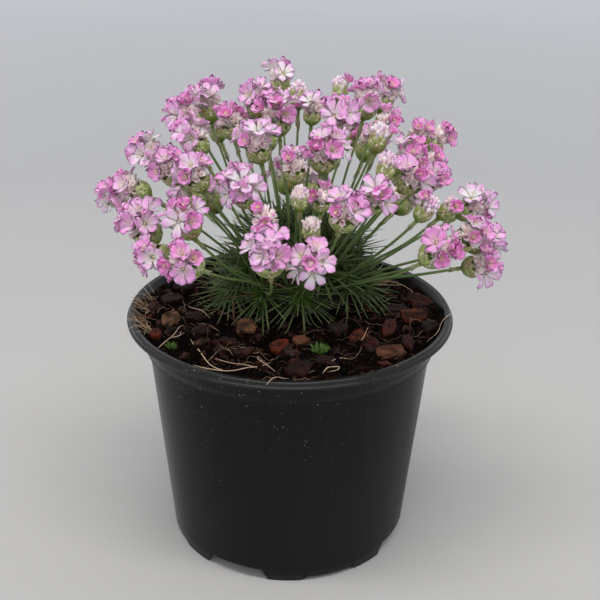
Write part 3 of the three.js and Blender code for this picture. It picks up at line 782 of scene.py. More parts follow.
# Turns for pieces that lie down: the long side at a bearing, tipped about it by a tilt
def lyingTurns(bearing, tilt):
    cosine, sine, flat, steep = np.cos(bearing), np.sin(bearing), np.cos(tilt), np.sin(tilt)
    rows = [
        [cosine, -sine * flat, sine * steep],
        [sine, cosine * flat, -cosine * steep],
        [0 * tilt, steep, flat],
    ]
    return np.moveaxis(np.array(rows), -1, 0)


# Outline of a chip: straight edges between a few corners at random bearings, as its radius at each turn.
# The ray at a turn meets an edge at a distance, and at a share along the edge from 0 to 1.
def chipOutline(draw, turn, corners):
    bearing = (np.arange(corners) + draw.uniform(-0.32, 0.32, corners)) * 2 * np.pi / corners
    reach = draw.uniform(0.8, 1.12, corners)
    x, y = reach * np.cos(bearing), reach * np.sin(bearing)
    edgeX, edgeY = np.roll(x, -1) - x, np.roll(y, -1) - y
    cosine, sine = np.cos(turn)[:, None], np.sin(turn)[:, None]
    cross = cosine * edgeY - sine * edgeX
    cross = np.where(np.abs(cross) < 1e-6, 1e-6, cross)
    distance = (x * edgeY - y * edgeX) / cross
    share = (x * sine - y * cosine) / cross
    hit = (distance > 0) & (share >= -1e-6) & (share <= 1 + 1e-6)
    nearest = np.where(hit, distance, 9.0).min(axis=1)
    return np.where(nearest > 1.3, 1.0, nearest)


# One chip: a slab with a many-cornered outline, broken edges and ridges along its length
def addChip(parcel, draw, place, sizes, turn, tone, rows, columns):
    bearing = circle(columns)
    outline = chipOutline(draw, bearing, draw.integers(5, 8))
    share = np.linspace(0, 1, rows)
    reach = np.interp(share, chipShape["shares"], chipShape["reach"])[:, None]
    level = np.interp(share, chipShape["shares"], chipShape["level"])[:, None]
    broken = 1 + 0.07 * draw.uniform(-1, 1, (rows, columns)) * np.sin(np.pi * share)[:, None]
    x, y = reach * outline * np.cos(bearing) * broken, reach * outline * np.sin(bearing) * broken
    shift = draw.uniform(0, 20, 3)
    ridge = 0.06 * np.sin(y * 11 + shift[0] + 1.3 * np.sin(x * 2.0)) + 0.1 * np.sin(y * 5 + shift[1])
    bend = draw.uniform(-0.5, 0.5) * x**2 + draw.uniform(-0.3, 0.3) * y
    z = level + ridge + 0.06 * draw.uniform(-1, 1, (rows, columns)) + bend
    shape = np.stack([x * sizes[0] * 0.5, y * sizes[1] * 0.5, z * sizes[2]], axis=-1)
    ends = [shape[0].mean(axis=0), shape[-1].mean(axis=0)]
    points = np.concatenate([shape.reshape(-1, 3), ends]) @ turn.T + place
    grain = np.append(y * sizes[1], [0, 0])
    parcel.add(points, gridFaces(rows, columns, True), endFans(rows, columns), tone=tone, grain=grain)


# Bark: the chips that are listed, then small flakes at random
def makeBark():
    draw = np.random.default_rng(soil["seed"] + 1)
    parcel = Parcel()
    larger, flatter = chipShape["larger"], chipShape["flatter"]
    for x, y, length, width, thick, bearing, tilt, tone in barkChips:
        turn = lyingTurns(np.radians([bearing]), np.radians([tilt]))[0]
        place = np.array([x, y, soilHeight(x, y) + chipShape["lift"] * thick])
        sizes = (length * larger, width * larger, thick * flatter)
        addChip(parcel, draw, place, sizes, turn, tone, 12, 30)
    count = soil["flakes"]
    x, y = soilPlaces(draw, count, 57.0)
    long = draw.uniform(2.4, 7.5, count)
    turns = lyingTurns(draw.uniform(0, np.pi, count), draw.uniform(-0.7, 0.7, count))
    tones = draw.choice([0.0, 0.04, 0.1, 0.18, 0.5, 0.62], count)
    for i in range(count):
        place = np.array([x[i], y[i], peatHeight(x[i], y[i]) + draw.uniform(-0.2, 0.5)])
        sizes = (long[i], long[i] * draw.uniform(0.35, 0.75), draw.uniform(0.6, 1.6))
        addChip(parcel, draw, place, sizes, turns[i], tones[i], 8, 14)
    parcel.build("bark_chips", [bark], "potting_soil", "soil", smooth=False)


# A smooth curve through points, as steps of a Catmull-Rom spline
def smoothPath(points, steps):
    points = np.asarray(points, float)
    whole = np.concatenate([[2 * points[0] - points[1]], points, [2 * points[-1] - points[-2]]])
    where = np.linspace(0, len(points) - 1 - 1e-6, steps)
    index = where.astype(int)
    share = (where - index)[:, None]
    before, start, end, after = (whole[index + i] for i in range(4))
    square = (2 * before - 5 * start + 4 * end - after) * share**2
    cube = (3 * start - before - 3 * end + after) * share**3
    return 0.5 * (2 * start + (end - before) * share + square + cube)


# Root fibres: those that are listed, then loose ones that curl evenly and rise in the middle
def makeFibres():
    draw = np.random.default_rng(soil["seed"] + 2)
    steps, count = soil["fibreSteps"], soil["looseFibres"]
    byHand = np.stack([smoothPath(curve, steps) for curve in rootFibres])
    byHand[..., 2] += soilHeight(byHand[..., 0], byHand[..., 1])
    x, y = soilPlaces(draw, count, 56.0)
    bearing = draw.uniform(0, 2 * np.pi, count)
    length = draw.uniform(4, 15, count)
    curl = draw.uniform(-1.6, 1.6, count)
    share = np.linspace(0, 1, steps)
    way = bearing[:, None] + curl[:, None] * (share - 0.5)
    step = length[:, None] / (steps - 1)
    x = x[:, None] + np.cumsum(np.cos(way) * step, axis=1)
    y = y[:, None] + np.cumsum(np.sin(way) * step, axis=1)
    lift = draw.uniform(0.3, 1.6, count)[:, None] * np.sin(np.pi * share)
    loose = np.stack([x, y, peatHeight(x, y) + 0.35 + lift], axis=-1)
    loose = loose[np.hypot(x, y).max(axis=1) < 57.5]
    thick = np.append(np.linspace(0.2, 0.11, len(byHand)), draw.uniform(0.05, 0.11, len(loose)))
    tones = np.append(draw.uniform(0.8, 1, len(byHand)), draw.uniform(0.05, 0.85, len(loose)))
    half = thick[:, None] * np.interp(share, [0, 0.15, 0.8, 1], [0.5, 1, 0.8, 0.25])
    parcel = Parcel()
    parcel.tubes(np.concatenate([byHand, loose]), half, half, 5, graded=False, tone=tones)
    parcel.build("root_fibres", [fibre], "potting_soil", "soil")


# Dry grass: thin blades from the soil at the left wall, up and outwards over the rim, then level
def makeDryGrass():
    draw = np.random.default_rng(soil["seed"] + 4)
    count = dryGrass["blades"]
    bearing = np.radians(draw.uniform(dryGrass["fromBearing"], dryGrass["toBearing"], count))
    root = polar(draw.uniform(55.5, 59.0, count), bearing, 0.0)[:, None, :2]
    swing = bearing + draw.normal(0, 1.1, count)
    length = draw.uniform(dryGrass["shortest"], dryGrass["longest"], count)
    share = np.linspace(0, 1, 7)
    flat = root + polar(1.0, swing, 0.0)[:, None, :2] * (length[:, None] * share)[..., None]
    flat = flat + 0.5 * np.sin(np.pi * share)[:, None] * draw.normal(size=(count, 1, 2))
    reach = np.hypot(flat[..., 0], flat[..., 1])
    carried = np.interp(reach, dryGrass["reach"], dryGrass["carried"])
    height = soil["level"] + dryGrass["lift"] + carried * draw.uniform(0.9, 1.15, (count, 1))
    paths = np.concatenate([flat, height[..., None]], axis=-1)
    half = dryGrass["halfWidth"] * draw.uniform(0.7, 1.3, (count, 1))
    half = half * np.interp(share, [0, 0.6, 1], [1, 0.9, 0.25])
    parcel = Parcel()
    parcel.tubes(paths, half, half * 0.5, 4, graded=False, tone=draw.uniform(0.35, 0.95, count))
    parcel.build("dry_grass", [fibre], "potting_soil", "soil")


# Moss: short pointed blades that spread from the middle of each tuft
def makeMoss():
    draw = np.random.default_rng(soil["seed"] + 3)
    parcel = Parcel()
    share = np.linspace(0, 1, 4)
    for x, y, radius in mossTufts:
        count = int(26 * radius)
        away = radius * 0.5 * np.sqrt(draw.uniform(0, 1, count))
        bearing = draw.uniform(0, 2 * np.pi, count)
        base = polar(away, bearing, 0.0) + [x, y, 0]
        base[:, 2] = soilHeight(base[:, 0], base[:, 1]) - 0.4
        lean = polar(1.0, bearing, 0.0) * (away / radius)[:, None]
        way = unit(lean * 1.6 + [0, 0, 1.0] + 0.25 * draw.normal(size=(count, 3)))
        length = draw.uniform(1.8, 3.6, count)
        paths = base[:, None, :] + way[:, None, :] * length[:, None, None] * share[:, None]
        half = np.interp(share, [0, 0.4, 1], [0.16, 0.24, 0.03]) * np.ones((count, 1))
        parcel.tubes(paths, half, half * 0.6, 4, tone=draw.uniform(0, 1, count))
    parcel.build("moss_tufts", [moss], "potting_soil", "soil")


def peatFinish():
    bed = Finish("peat", 1.0, 0.05)
    bed.colour(bed.ramp(
        bed.noise(300, 5, 0.7), (0.32, (0.002, 0.0013, 0.001)), (0.55, (0.0055, 0.003, 0.002)),
        (0.72, (0.02, 0.0085, 0.005)), (0.85, (0.05, 0.022, 0.013)),
    ))
    bed.bump(bed.noise(800, 6, 0.75), 1.0, 0.8)
    return bed.material


def crumbFinish():
    crumb = Finish("peat_crumb", 0.85, 0.08)
    tone = crumb.ramp(
        "tone", (0.0, (0.0022, 0.0014, 0.0011)), (0.55, (0.006, 0.003, 0.0021)),
        (0.84, (0.022, 0.0085, 0.005)), (0.96, (0.07, 0.03, 0.02)), (1.0, (0.13, 0.08, 0.05)),
    )
    crumb.colour(crumb.mottle(0.6, tone, crumb.noise(600, 4, 0.7), 0.35, 1.1))
    crumb.bump(crumb.noise(1100, 5, 0.7), 0.9, 0.4)
    return crumb.material


# Bark: a hue by the chip's tone, streaked along its grain, with soil in patches
def barkFinish():
    chip = Finish("bark", 0.55, 0.22)
    hue = chip.ramp(
        "tone", (0.0, (0.022, 0.006, 0.004)), (0.14, (0.09, 0.015, 0.009)),
        (0.27, (0.24, 0.042, 0.015)), (0.4, (0.075, 0.038, 0.035)), (0.5, (0.034, 0.012, 0.008)),
        (0.66, (0.11, 0.037, 0.02)), (0.82, (0.24, 0.09, 0.043)), (1.0, (0.32, 0.165, 0.09)),
    )
    wave = chip.maths("ADD", chip.scaled("grain", 5.5), chip.scaled(chip.noise(150), 9.0))
    streak = chip.maths("SINE", wave)
    spots = chip.mix(0.72, streak, chip.noise(260, 5, 0.68))
    worn = chip.times(hue, chip.ramp(spots, (0.15, 0.4), (0.45, 0.85), (0.8, 1.3)))
    dirt = chip.ramp(chip.noise(170, 5, 0.7), (0.42, 0.0), (0.58, 1.0))
    chip.colour(chip.mix(chip.scaled(dirt, 0.85), worn, (0.01, 0.006, 0.0045)))
    chip.bump(chip.mix(0.75, streak, chip.noise(700, 5, 0.7)), 0.7, 0.5)
    return chip.material


def fibreFinish():
    root = Finish("root_fibre", 0.6)
    tone = root.ramp("tone", (0.0, (0.07, 0.035, 0.02)), (0.5, (0.28, 0.16, 0.085)), (1.0, (0.9, 0.66, 0.46)))
    root.colour(root.mottle(0.35, tone, root.noise(500), 0.5, 1.3, (0.35, 0.65)))
    root.bump(root.noise(1500), 0.4, 0.1)
    return root.material


def mossFinish():
    tuft = Finish("moss", 0.6, through=0.3, depth=0.0004)
    green = tuft.ramp(
        "along", (0.0, (0.03, 0.045, 0.012)), (0.5, (0.06, 0.15, 0.02)), (1.0, (0.15, 0.3, 0.05)),
    )
    tuft.colour(tuft.mottle(0.4, green, tuft.noise(420), 0.5, 1.3))
    return tuft.material


def woodFinish():
    wood = Finish("woody_stock", 0.85)
    lengthwise = (1, 1, 0.3)
    grain = wood.noise(160, 5, 0.65, lengthwise)
    wood.colour(wood.ramp(grain, (0.3, (0.03, 0.02, 0.013)), (0.7, (0.13, 0.085, 0.05))))
    wood.bump(wood.noise(400, 4, 0.7, lengthwise), 0.8, 0.6)
    return wood.material


peat, peatCrumb, bark, fibre, moss = (
    peatFinish(), crumbFinish(), barkFinish(), fibreFinish(), mossFinish(),
)
for make in (makePeatBed, makeCrumbs, makeBark, makeFibres, makeDryGrass, makeMoss):
    make()
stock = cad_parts["root_stock"].data.materials
stock.clear()
stock.append(woodFinish())
print("soil, bark, fibres and moss are made")


# Leaf cushion

# A spread is the angle of the innermost and outermost needle from the rosette's axis, in degrees, and
# the power of the rank between them. Each kind of rosette has its own needles.
cushion = {
    "radiusX": 25.0,
    "radiusY": 21.5,
    "height": 27.6,
    "rosettes": 44,
    "rosetteRadius": 1.5,
    "sink": 1.5,  # how much lower the outer needles of a rosette start
    "unevenWay": 0.1,
    "lift": 0.05,
    "fullLengthRank": 2.6,  # one over the rank from which needles are full length
    "lengths": (0.8, 1.12),
    "mostArch": 0.18,
    "unevenArch": 0.03,
    "low": {"needles": 56, "spread": (6.0, 84.0, 0.62), "length": 17.0, "innerLength": 8.0},
    "top": {"needles": 46, "spread": (4.0, 76.0, 0.65), "length": 22.0, "innerLength": 12.0},
    "star": {"needles": 60, "spread": (12.0, 92.0, 0.42), "length": 19.0, "innerLength": 6.0},
    "lowest": 0.06,
    "unevenSpots": 0.07,
    "lowestSpot": 0.04,
    "inset": 0.06,
    "outwardLift": (0, 0, 0.014),
    "topLift": (0, 0, 0.5),
    "starLift": (0, -0.004, 0.022),
    "starYouth": 0.66,
    "topFrom": 0.66,
    "starApart": 10.5,
    "halfWidth": 0.47,
    "halfThickness": 0.28,
    "scales": (0.85, 1.15),
    "taperAt": [0, 0.25, 0.72, 1],
    "taper": [0.8, 1.0, 0.86, 0.16],
    "soilGap": 0.5,
    "soilBend": 0.12,
    "deadShare": 0.012,
    "steps": 6,
    "heartShare": 0.9,
    "seed": 23,
}

# Rosettes that stand out at the front of the cushion: x, y and z of their middles
starRosettes = [
    (-11, -1, 104), (4, -4, 105), (23, 5, 107), (-24, 8.5, 101.5), (30.5, 14.5, 101),
    (12, 2, 114), (-17.5, 8.5, 111),
]


# Even directions over a half globe, by the sunflower rule, with z from 1 down to the lowest
def domeDirections(count, lowest):
    z = 1 - (1 - lowest) * (np.arange(count) + 0.5) / count
    return polar(np.sqrt(1 - z * z), np.arange(count) * goldenAngle, z)


# Needles of some rosettes, each a fan about its outward axis. A needle turns on by the golden angle and
# spreads by a power of its rank, so that the outer ones lie flat; it is a straight line plus an arch
# that grows with the square of the way along it. Youth falls from 1 to 0 from the inner to the outer.
def fanNeedles(draw, centre, outward, kind):
    count = kind["needles"]
    inner, outer, power = kind["spread"]
    rank = (np.arange(count) + 0.5) / count
    turn = np.arange(count) * goldenAngle + draw.uniform(0, anyTurn, (len(centre), 1))
    opened = np.radians(inner + (outer - inner) * rank ** power)[:, None]
    side = unit(np.cross(outward, [0.13, 0.2, 1.0]))
    other = np.cross(outward, side)
    centre, outward = centre[:, None], outward[:, None]
    ray = np.cos(turn)[..., None] * side[:, None] + np.sin(turn)[..., None] * other[:, None]
    way = np.cos(opened) * outward + np.sin(opened) * ray
    way = unit(way + cushion["unevenWay"] * draw.normal(size=way.shape) + [0, 0, cushion["lift"]])
    root = centre + ray * (cushion["rosetteRadius"] * rank ** 0.5)[:, None]
    root = root - cushion["sink"] * outward * rank[:, None]
    grown = (kind["length"] - kind["innerLength"]) * np.minimum(rank * cushion["fullLengthRank"], 1)
    grown = kind["innerLength"] + grown
    grown = (grown * draw.uniform(*cushion["lengths"], way.shape[:2]))[..., None]
    share = np.linspace(0, 1, cushion["steps"])
    arch = (way - outward) * draw.uniform(0.0, cushion["mostArch"], way.shape[:2])[..., None]
    arch = (arch + cushion["unevenArch"] * draw.normal(size=arch.shape))[..., None, :]
    straight = (way[..., None, :] - arch) * (grown * share)[..., None]
    paths = root[..., None, :] + straight + arch * (grown * share**2)[..., None]
    return paths.reshape(-1, cushion["steps"], 3), np.tile(1 - rank, len(centre))


# Needles of the whole cushion: rosettes evenly over it, longer and upright ones at its top, and the
# rosettes that stand out at the front in place of those near them
def needlePaths(draw):
    size = np.array([cushion["radiusX"], cushion["radiusY"], cushion["height"]])
    middle = np.array([soil["plantX"], soil["plantY"], soil["plantSeat"]])
    stars = np.array(starRosettes)
    spots = domeDirections(cushion["rosettes"], cushion["lowest"])
    spots = unit(spots + cushion["unevenSpots"] * draw.normal(size=spots.shape))
    spots[:, 2] = np.maximum(spots[:, 2], cushion["lowestSpot"])
    place = spots * size * (1 - cushion["inset"] * draw.uniform(0, 1, (len(spots), 1))) + middle
    apart = np.linalg.norm(place[:, None] - stars, axis=-1).min(axis=1)
    outward = unit(spots / size + cushion["outwardLift"])
    top = spots[:, 2] > cushion["topFrom"]
    low = ~top & (apart > cushion["starApart"])
    topOutward = unit(outward[top] + cushion["topLift"])
    starOutward = unit((stars - middle) / size**2 + cushion["starLift"])
    lowPaths, lowYouth = fanNeedles(draw, place[low], outward[low], cushion["low"])
    topPaths, topYouth = fanNeedles(draw, place[top], topOutward, cushion["top"])
    starPaths, starYouth = fanNeedles(draw, stars, starOutward, cushion["star"])
    starYouth = cushion["starYouth"] + (1 - cushion["starYouth"]) * starYouth
    youth = np.concatenate([lowYouth, topYouth, starYouth])
    return np.concatenate([lowPaths, topPaths, starPaths]), youth


# Needles in two meshes, in a random order. Those that would run into the soil are bent along it.
def makeNeedles():
    draw = np.random.default_rng(cushion["seed"])
    paths, youth = needlePaths(draw)
    order = draw.permutation(len(paths))
    paths, youth = paths[order], youth[order]
    height, low = paths[..., 2], soilHeight(paths[..., 0], paths[..., 1]) + cushion["soilGap"]
    paths[..., 2] = np.where(height < low, low + cushion["soilBend"] * (low - height), height)
    dead = (draw.uniform(0, 1, len(paths)) < cushion["deadShare"]).astype(float)
    tone = draw.uniform(0, 1, len(paths))
    share = np.linspace(0, 1, cushion["steps"])
    taper = np.interp(share, cushion["taperAt"], cushion["taper"])
    scale = draw.uniform(*cushion["scales"], len(paths))[:, None] * taper
    for number, part in enumerate(np.array_split(np.arange(len(paths)), 2)):
        wide, thick = cushion["halfWidth"] * scale[part], cushion["halfThickness"] * scale[part]
        parcel = Parcel()
        parcel.tubes(paths[part], wide, thick, 4, youth=youth[part], tone=tone[part], dead=dead[part])
        parcel.build(f"needle_leaves_{number + 1}", [needle], "green_leaf", "cushion_and_stalks")


# The dark inside of the cushion: an uneven half globe a little smaller than the CAD one, coloured near-black
# as painted shade
def makeCushionHeart():
    points, quads, fans = globe(16, 30)
    size = np.array([cushion["radiusX"], cushion["radiusY"], cushion["height"]]) * cushion["heartShare"]
    shape = points * size
    shape[:, 2] = np.maximum(shape[:, 2], -3.0)
    shape *= 1 + 0.04 * waves(shape[:, 0:1], shape[:, 1:2] + shape[:, 2:3], 9.0, 8)
    parcel = Parcel()
    parcel.add(shape + [soil["plantX"], soil["plantY"], soil["plantSeat"]], quads, fans)
    parcel.build("cushion_heart", [heartShade], "green_leaf", "cushion_and_stalks")


# Needles: dark when old, paler when young and at the tips, yellow-green at the heart of a rosette; old
# needles are darker towards their base, which is painted shade deep in the cushion
def needleFinish():
    leaf = Finish("needle_leaf", 0.4, 0.3, 0.15, 0.0003)
    # Darker towards the base: painted shade where the needles crowd into the cushion
    old = leaf.ramp(
        "along", (0.0, (0.028, 0.05, 0.013)), (0.25, (0.036, 0.066, 0.018)),
        (0.8, (0.076, 0.112, 0.042)), (1.0, (0.18, 0.2, 0.095)),
    )
    young = leaf.ramp(
        "along", (0.0, (0.16, 0.3, 0.025)), (0.2, (0.08, 0.17, 0.025)),
        (0.5, (0.074, 0.125, 0.044)), (1.0, (0.17, 0.21, 0.1)),
    )
    blend = leaf.ramp("youth", (0.6, 0.0), (0.98, 1.0))
    tint = leaf.mix(leaf.scaled(blend, 0.85), old, young)
    inner = leaf.ramp("youth", (0.4, 0.0), (0.52, 1.0))
    heart = leaf.times(leaf.ramp("along", (0.03, 1.0), (0.3, 0.0)), inner)
    tint = leaf.mix(heart, tint, (0.15, 0.27, 0.03))
    uneven = leaf.ramp(
        "tone", (0.0, (0.58, 0.62, 0.52)), (0.5, (0.94, 0.95, 0.84)), (1.0, (1.26, 1.22, 1.02)),
    )
    tint = leaf.mottle(0.45, leaf.times(tint, uneven), leaf.noise(520), 0.65, 1.35)
    leaf.colour(leaf.mix("dead", tint, (0.24, 0.13, 0.06)))
    leaf.bump(leaf.noise(900, 2), 0.25, 0.15)
    return leaf.material


# Near-black with browner spots: painted shade of the cushion's inside
def heartShadeFinish():
    dark = Finish("cushion_painted_shade", 0.9)
    spots = dark.noise(330, 5, 0.7)
    dark.colour(dark.ramp(spots, (0.35, (0.012, 0.013, 0.007)), (0.7, (0.055, 0.05, 0.025))))
    dark.bump(dark.noise(420, 5, 0.7), 1.0, 1.4)
    return dark.material


needle, heartShade = needleFinish(), heartShadeFinish()
makeNeedles()
makeCushionHeart()
print("leaf cushion is made")


# Stalks and flower heads

plant = {
    "domeX": 3.0,
    "domeY": 8.0,
    "footShare": 0.42,
    "gap": 0.3,
    "neckShare": 0.4,
    "stalkRootHeight": 100.3,
    "stalkRootSpread": 0.22,
    "stalkRootReach": 13.0,
    "stalkBend": 0.42,
    "stalkStraightness": 0.5,
    "stalkRadius": 0.5,
    "stalkSteps": 26,
    "frontHead": 22,  # the head whose stalk starts at frontRoot
    "frontRoot": (-10.0, -1.0, 104.0),
    "stalkWobble": 0.7,
    "seed": 41,
}

# Each head: x, y and z of its middle, width across the petals, lean from upright in degrees, and how far
# its florets have opened, from 0 to 1
openHeads = [
    (-5, 34, 184, 12, 8, 0.9), (-34, 26, 176, 15, 12, 1.0), (-42, 13, 173, 15, 35, 1.0),
    (-24, 6, 173, 13, 14, 0.7), (-32, 37, 162, 11, 30, 1.0), (-38, -2, 169, 15, 26, 0.9),
    (-15, 18, 179, 14, 20, 0.7), (-6, -3, 179, 16, 10, 0.9), (8, 14, 176, 11, 8, 0.8),
    (-13, -19, 172, 15, 20, 0.8), (-57, 9, 159, 15, 48, 1.0), (-47, -14, 160, 14, 40, 0.9),
    (-36, -24, 161, 14, 34, 0.9), (-64, 4, 146, 15, 62, 0.9), (-74, 24, 135, 11, 70, 0.9),
    (-18, -31, 158, 16, 40, 1.0), (1, -28, 166, 12, 14, 0.9), (-57, -17, 140, 18, 32, 0.9),
    (-38, -38, 149, 15, 30, 0.9), (-51, -33, 132, 13, 78, 0.9), (-38, -48, 136, 16, 58, 0.9),
    (-9, -42, 151, 13, 28, 0.4), (-8, -56, 144, 18, 30, 1.0), (17, -6, 178, 15, 14, 0.8),
    (29, 11, 181, 14, 12, 0.9), (37, 26, 180, 14, 18, 0.9), (36, 0, 174, 12, 26, 0.6),
    (12, -22, 170, 16, 22, 0.9), (49, 13, 167, 11, 20, 0.7), (58, 19, 164, 13, 34, 0.6),
    (44, -12, 165, 14, 36, 0.8), (54, 3, 158, 12, 50, 0.8), (19, -45, 155, 16, 34, 0.8),
    (11, -32, 155, 10, 20, 0.5), (7, -57, 140, 16, 60, 0.9), (31, -37, 157, 13, 44, 0.9),
    (44, -23, 160, 13, 40, 0.8), (54, -9, 155, 12, 50, 0.8), (72, 0, 142, 14, 52, 1.0),
    (53, -42, 140, 16, 46, 0.8), (66, -27, 140, 14, 44, 0.9), (75, -13, 132, 14, 66, 1.0),
    (72, -24, 126, 13, 72, 1.0),
]
closedHeads = [
    (2, 22, 181, 11, 5, 0.2), (19, 31, 181, 10, 5, 0.3), (3, -38, 158, 9, 10, 0.1),
    (7, -44, 149, 10, 20, 0.0), (32, -12, 173, 11, 14, 0.3), (49, -31, 152, 11, 34, 0.3),
    (59, -20, 148, 10, 40, 0.3), (34, -25, 166, 11, 12, 0.2),
]

# Heads on the far side, by the rule of the part's source: two rows of pairs round the back of the dome,
# with bearings from the front, and how far open the two heads of each pair are
farRows = [
    {"reach": 45, "height": 158, "width": 15, "lean": 34, "from": 152, "to": 202,
     "open": [(0.9, 0.8), (0.9, 1.0)]},
    {"reach": 49, "height": 132, "width": 15, "lean": 54, "from": 132, "to": 228,
     "open": [(1.0, 0.8), (0.9, 0.9), (0.8, 1.0)]},
]
farRule = {"sideways": 1.2, "uneven": 6.0, "pairShare": 0.37, "pairUneven": 1.5, "seed": 3}


# The part source's run of numbers from 0 to 1: each state is the last one times a factor, plus a constant
def seededNumbers(start):
    state = start
    while True:
        state = (state * 1664525 + 1013904223) % 2**32
        yield state / 2**32


# Pairs of far heads. The middle of a pair is at its row's reach and bearing; its two heads stand to the
# left and right of it, one a little higher.
def farPairs():
    numbers = seededNumbers(farRule["seed"])
    pairs = []
    for row in farRows:
        bearings = np.radians(np.linspace(row["from"], row["to"], len(row["open"])))
        for bearing, openness in zip(bearings, row["open"]):
            x = plant["domeX"] + farRule["sideways"] * row["reach"] * math.sin(bearing)
            y = plant["domeY"] - row["reach"] * math.cos(bearing)
            z = row["height"] + farRule["uneven"] * (next(numbers) - 0.5)
            pair = []
            for side, opened in zip((-1, 1), openness):
                apart = side * farRule["pairShare"] * row["width"]
                place = (x + apart * math.cos(bearing), y + apart * math.sin(bearing))
                height = z + farRule["pairUneven"] * side
                pair.append((*place, height, row["width"], row["lean"], opened))
            pairs.append(pair)
    return pairs


farHeads = farPairs()


# Axis and foot of each head, its width and how far it is open: the axis leans away from the middle of
# the dome
def headFrames(rows):
    rows = np.asarray(rows, float)
    middle, width, lean = rows[:, :3], rows[:, 3], np.radians(rows[:, 4])[:, None]
    away = middle[:, :2] - [plant["domeX"], plant["domeY"]]
    away = away / np.linalg.norm(away, axis=1, keepdims=True)
    axis = np.concatenate([away * np.sin(lean), np.cos(lean)], axis=1)
    return axis, middle - axis * (plant["footShare"] * width)[:, None], width, rows[:, 5]


# Stalks: a curve with one bend from the middle of the cushion to the neck of the cup, a little wavy
def stalkPaths(axis, base, width, draw):
    neck = base - axis * (plant["gap"] + plant["neckShare"] * width)[:, None]
    seat = np.array([soil["plantX"], soil["plantY"], plant["stalkRootHeight"]])
    offset = (neck - seat)[:, :2] * plant["stalkRootSpread"]
    offset = offset * np.minimum(1, plant["stalkRootReach"] / np.linalg.norm(offset, axis=1, keepdims=True))
    root = np.pad(offset, ((0, 0), (0, 1))) + seat
    root[plant["frontHead"]] = plant["frontRoot"]
    span = np.linalg.norm(neck - root, axis=1, keepdims=True)
    straight = plant["stalkStraightness"]
    way = unit(axis * (1 - straight) + unit(neck - root) * straight)
    bend = neck - way * plant["stalkBend"] * span
    share = np.linspace(0, 1, plant["stalkSteps"])[:, None]
    paths = (1 - share) ** 2 * root[:, None] + 2 * share * (1 - share) * bend[:, None]
    paths = paths + share**2 * neck[:, None]
    turn = draw.uniform(0, 2 * np.pi, (len(neck), 1))
    swing = plant["stalkWobble"] * np.sin(np.pi * share[:, 0])
    swing = swing * np.sin(2.2 * np.pi * share[:, 0] + turn)
    across = unit(np.cross(axis, draw.normal(size=axis.shape)))
    return paths + swing[..., None] * across[:, None]


def makeStalks(axis, base, width):
    draw = np.random.default_rng(plant["seed"])
    paths = stalkPaths(axis, base, width, draw)
    makeSheaths(paths, draw)
    inCup = base - axis * (0.2 * width)[:, None]
    paths = np.concatenate([paths, inCup[:, None]], axis=1)
    share = np.linspace(0, 1, paths.shape[1])
    half = plant["stalkRadius"] * draw.uniform(0.88, 1.12, len(paths))[:, None]
    half = half * np.interp(share, [0, 0.5, 0.93, 1], [1.1, 1.0, 0.95, 1.5])
    parcel = Parcel()
    parcel.tubes(paths, half, half, 10, tone=draw.uniform(0, 1, len(paths)))
    parcel.build("flower_stalks", [stalkGreen], "green_leaf", "cushion_and_stalks")


# The rows of a sheath run down its outside and up its inside: share of its length and radius
sleeve = {
    "down": [-0.1, 0.25, 0.6, 1.0, 1.0, 0.6, 0.25, -0.1],
    "radius": [0.95, 0.74, 0.76, 0.98, 0.9, 0.66, 0.64, 0.85],
    "columns": 14,
    "shortest": 4.0,
    "longest": 7.5,
}


# Papery sheaths under the heads: a thin sleeve down the last part of the stalk, torn at its lower edge
def makeSheaths(paths, draw):
    count, columns, neck = len(paths), sleeve["columns"], paths[:, -1]
    down, radius = np.array(sleeve["down"])[:, None], np.array(sleeve["radius"])[:, None]
    frames = squareFrames(unit(paths[:, -5] - neck), draw.uniform(0, 2 * np.pi, count))
    length = draw.uniform(sleeve["shortest"], sleeve["longest"], count)[:, None, None]
    tear = draw.uniform(0.5, 1.0, (count, columns)) * (0.85 + 0.3 * (np.arange(columns) % 2))
    drop = down * length * np.where(down > 0.5, tear[:, None, :], 1)
    flare = radius * (1 + 0.06 * draw.uniform(-1, 1, (count, len(down), columns)))
    points = carry(polar(flare, circle(columns), drop), frames, neck).reshape(count, -1, 3)
    along = np.tile(np.repeat(np.clip(down, 0, 1), columns), count)
    parcel = Parcel()
    quads = gridFaces(len(down), columns, True, True)
    parcel.add(points, quads, along=along, tone=draw.uniform(0, 1, count))
    parcel.build("stalk_sheaths", [sheath], "green_leaf", "cushion_and_stalks")


# A row of bracts: how many, where it starts and ends along the depth, and its half width as an angle
cup = {
    "rimShare": 0.31,
    "open": {
        "depthShare": 0.31,
        "rows": [(5, 0.0, 1.0, 0.82), (6, 0.05, 1.22, 0.72), (7, 0.3, 1.46, 0.62), (9, 0.6, 1.64, 0.48)],
    },
    "closed": {
        "depthShare": 0.42,
        "rows": [(5, 0.0, 1.2, 0.8), (5, 0.05, 1.45, 0.78), (6, 0.3, 1.7, 0.7), (7, 0.7, 1.9, 0.6)],
    },
    "thickness": 0.09,
    "along": [0, 0.25, 0.5, 0.75, 1.0],
    "across": [-1, -0.55, 0, 0.55, 1],
}


# Radius of a cup at a share of its depth: it leaves the stalk steeply and stands upright at its rim
def cupRadius(share):
    return (1 - (1 - np.clip(share, 0, 1)) ** 1.8) ** 0.72 - 0.1 * np.maximum(share - 1, 0) ** 1.2


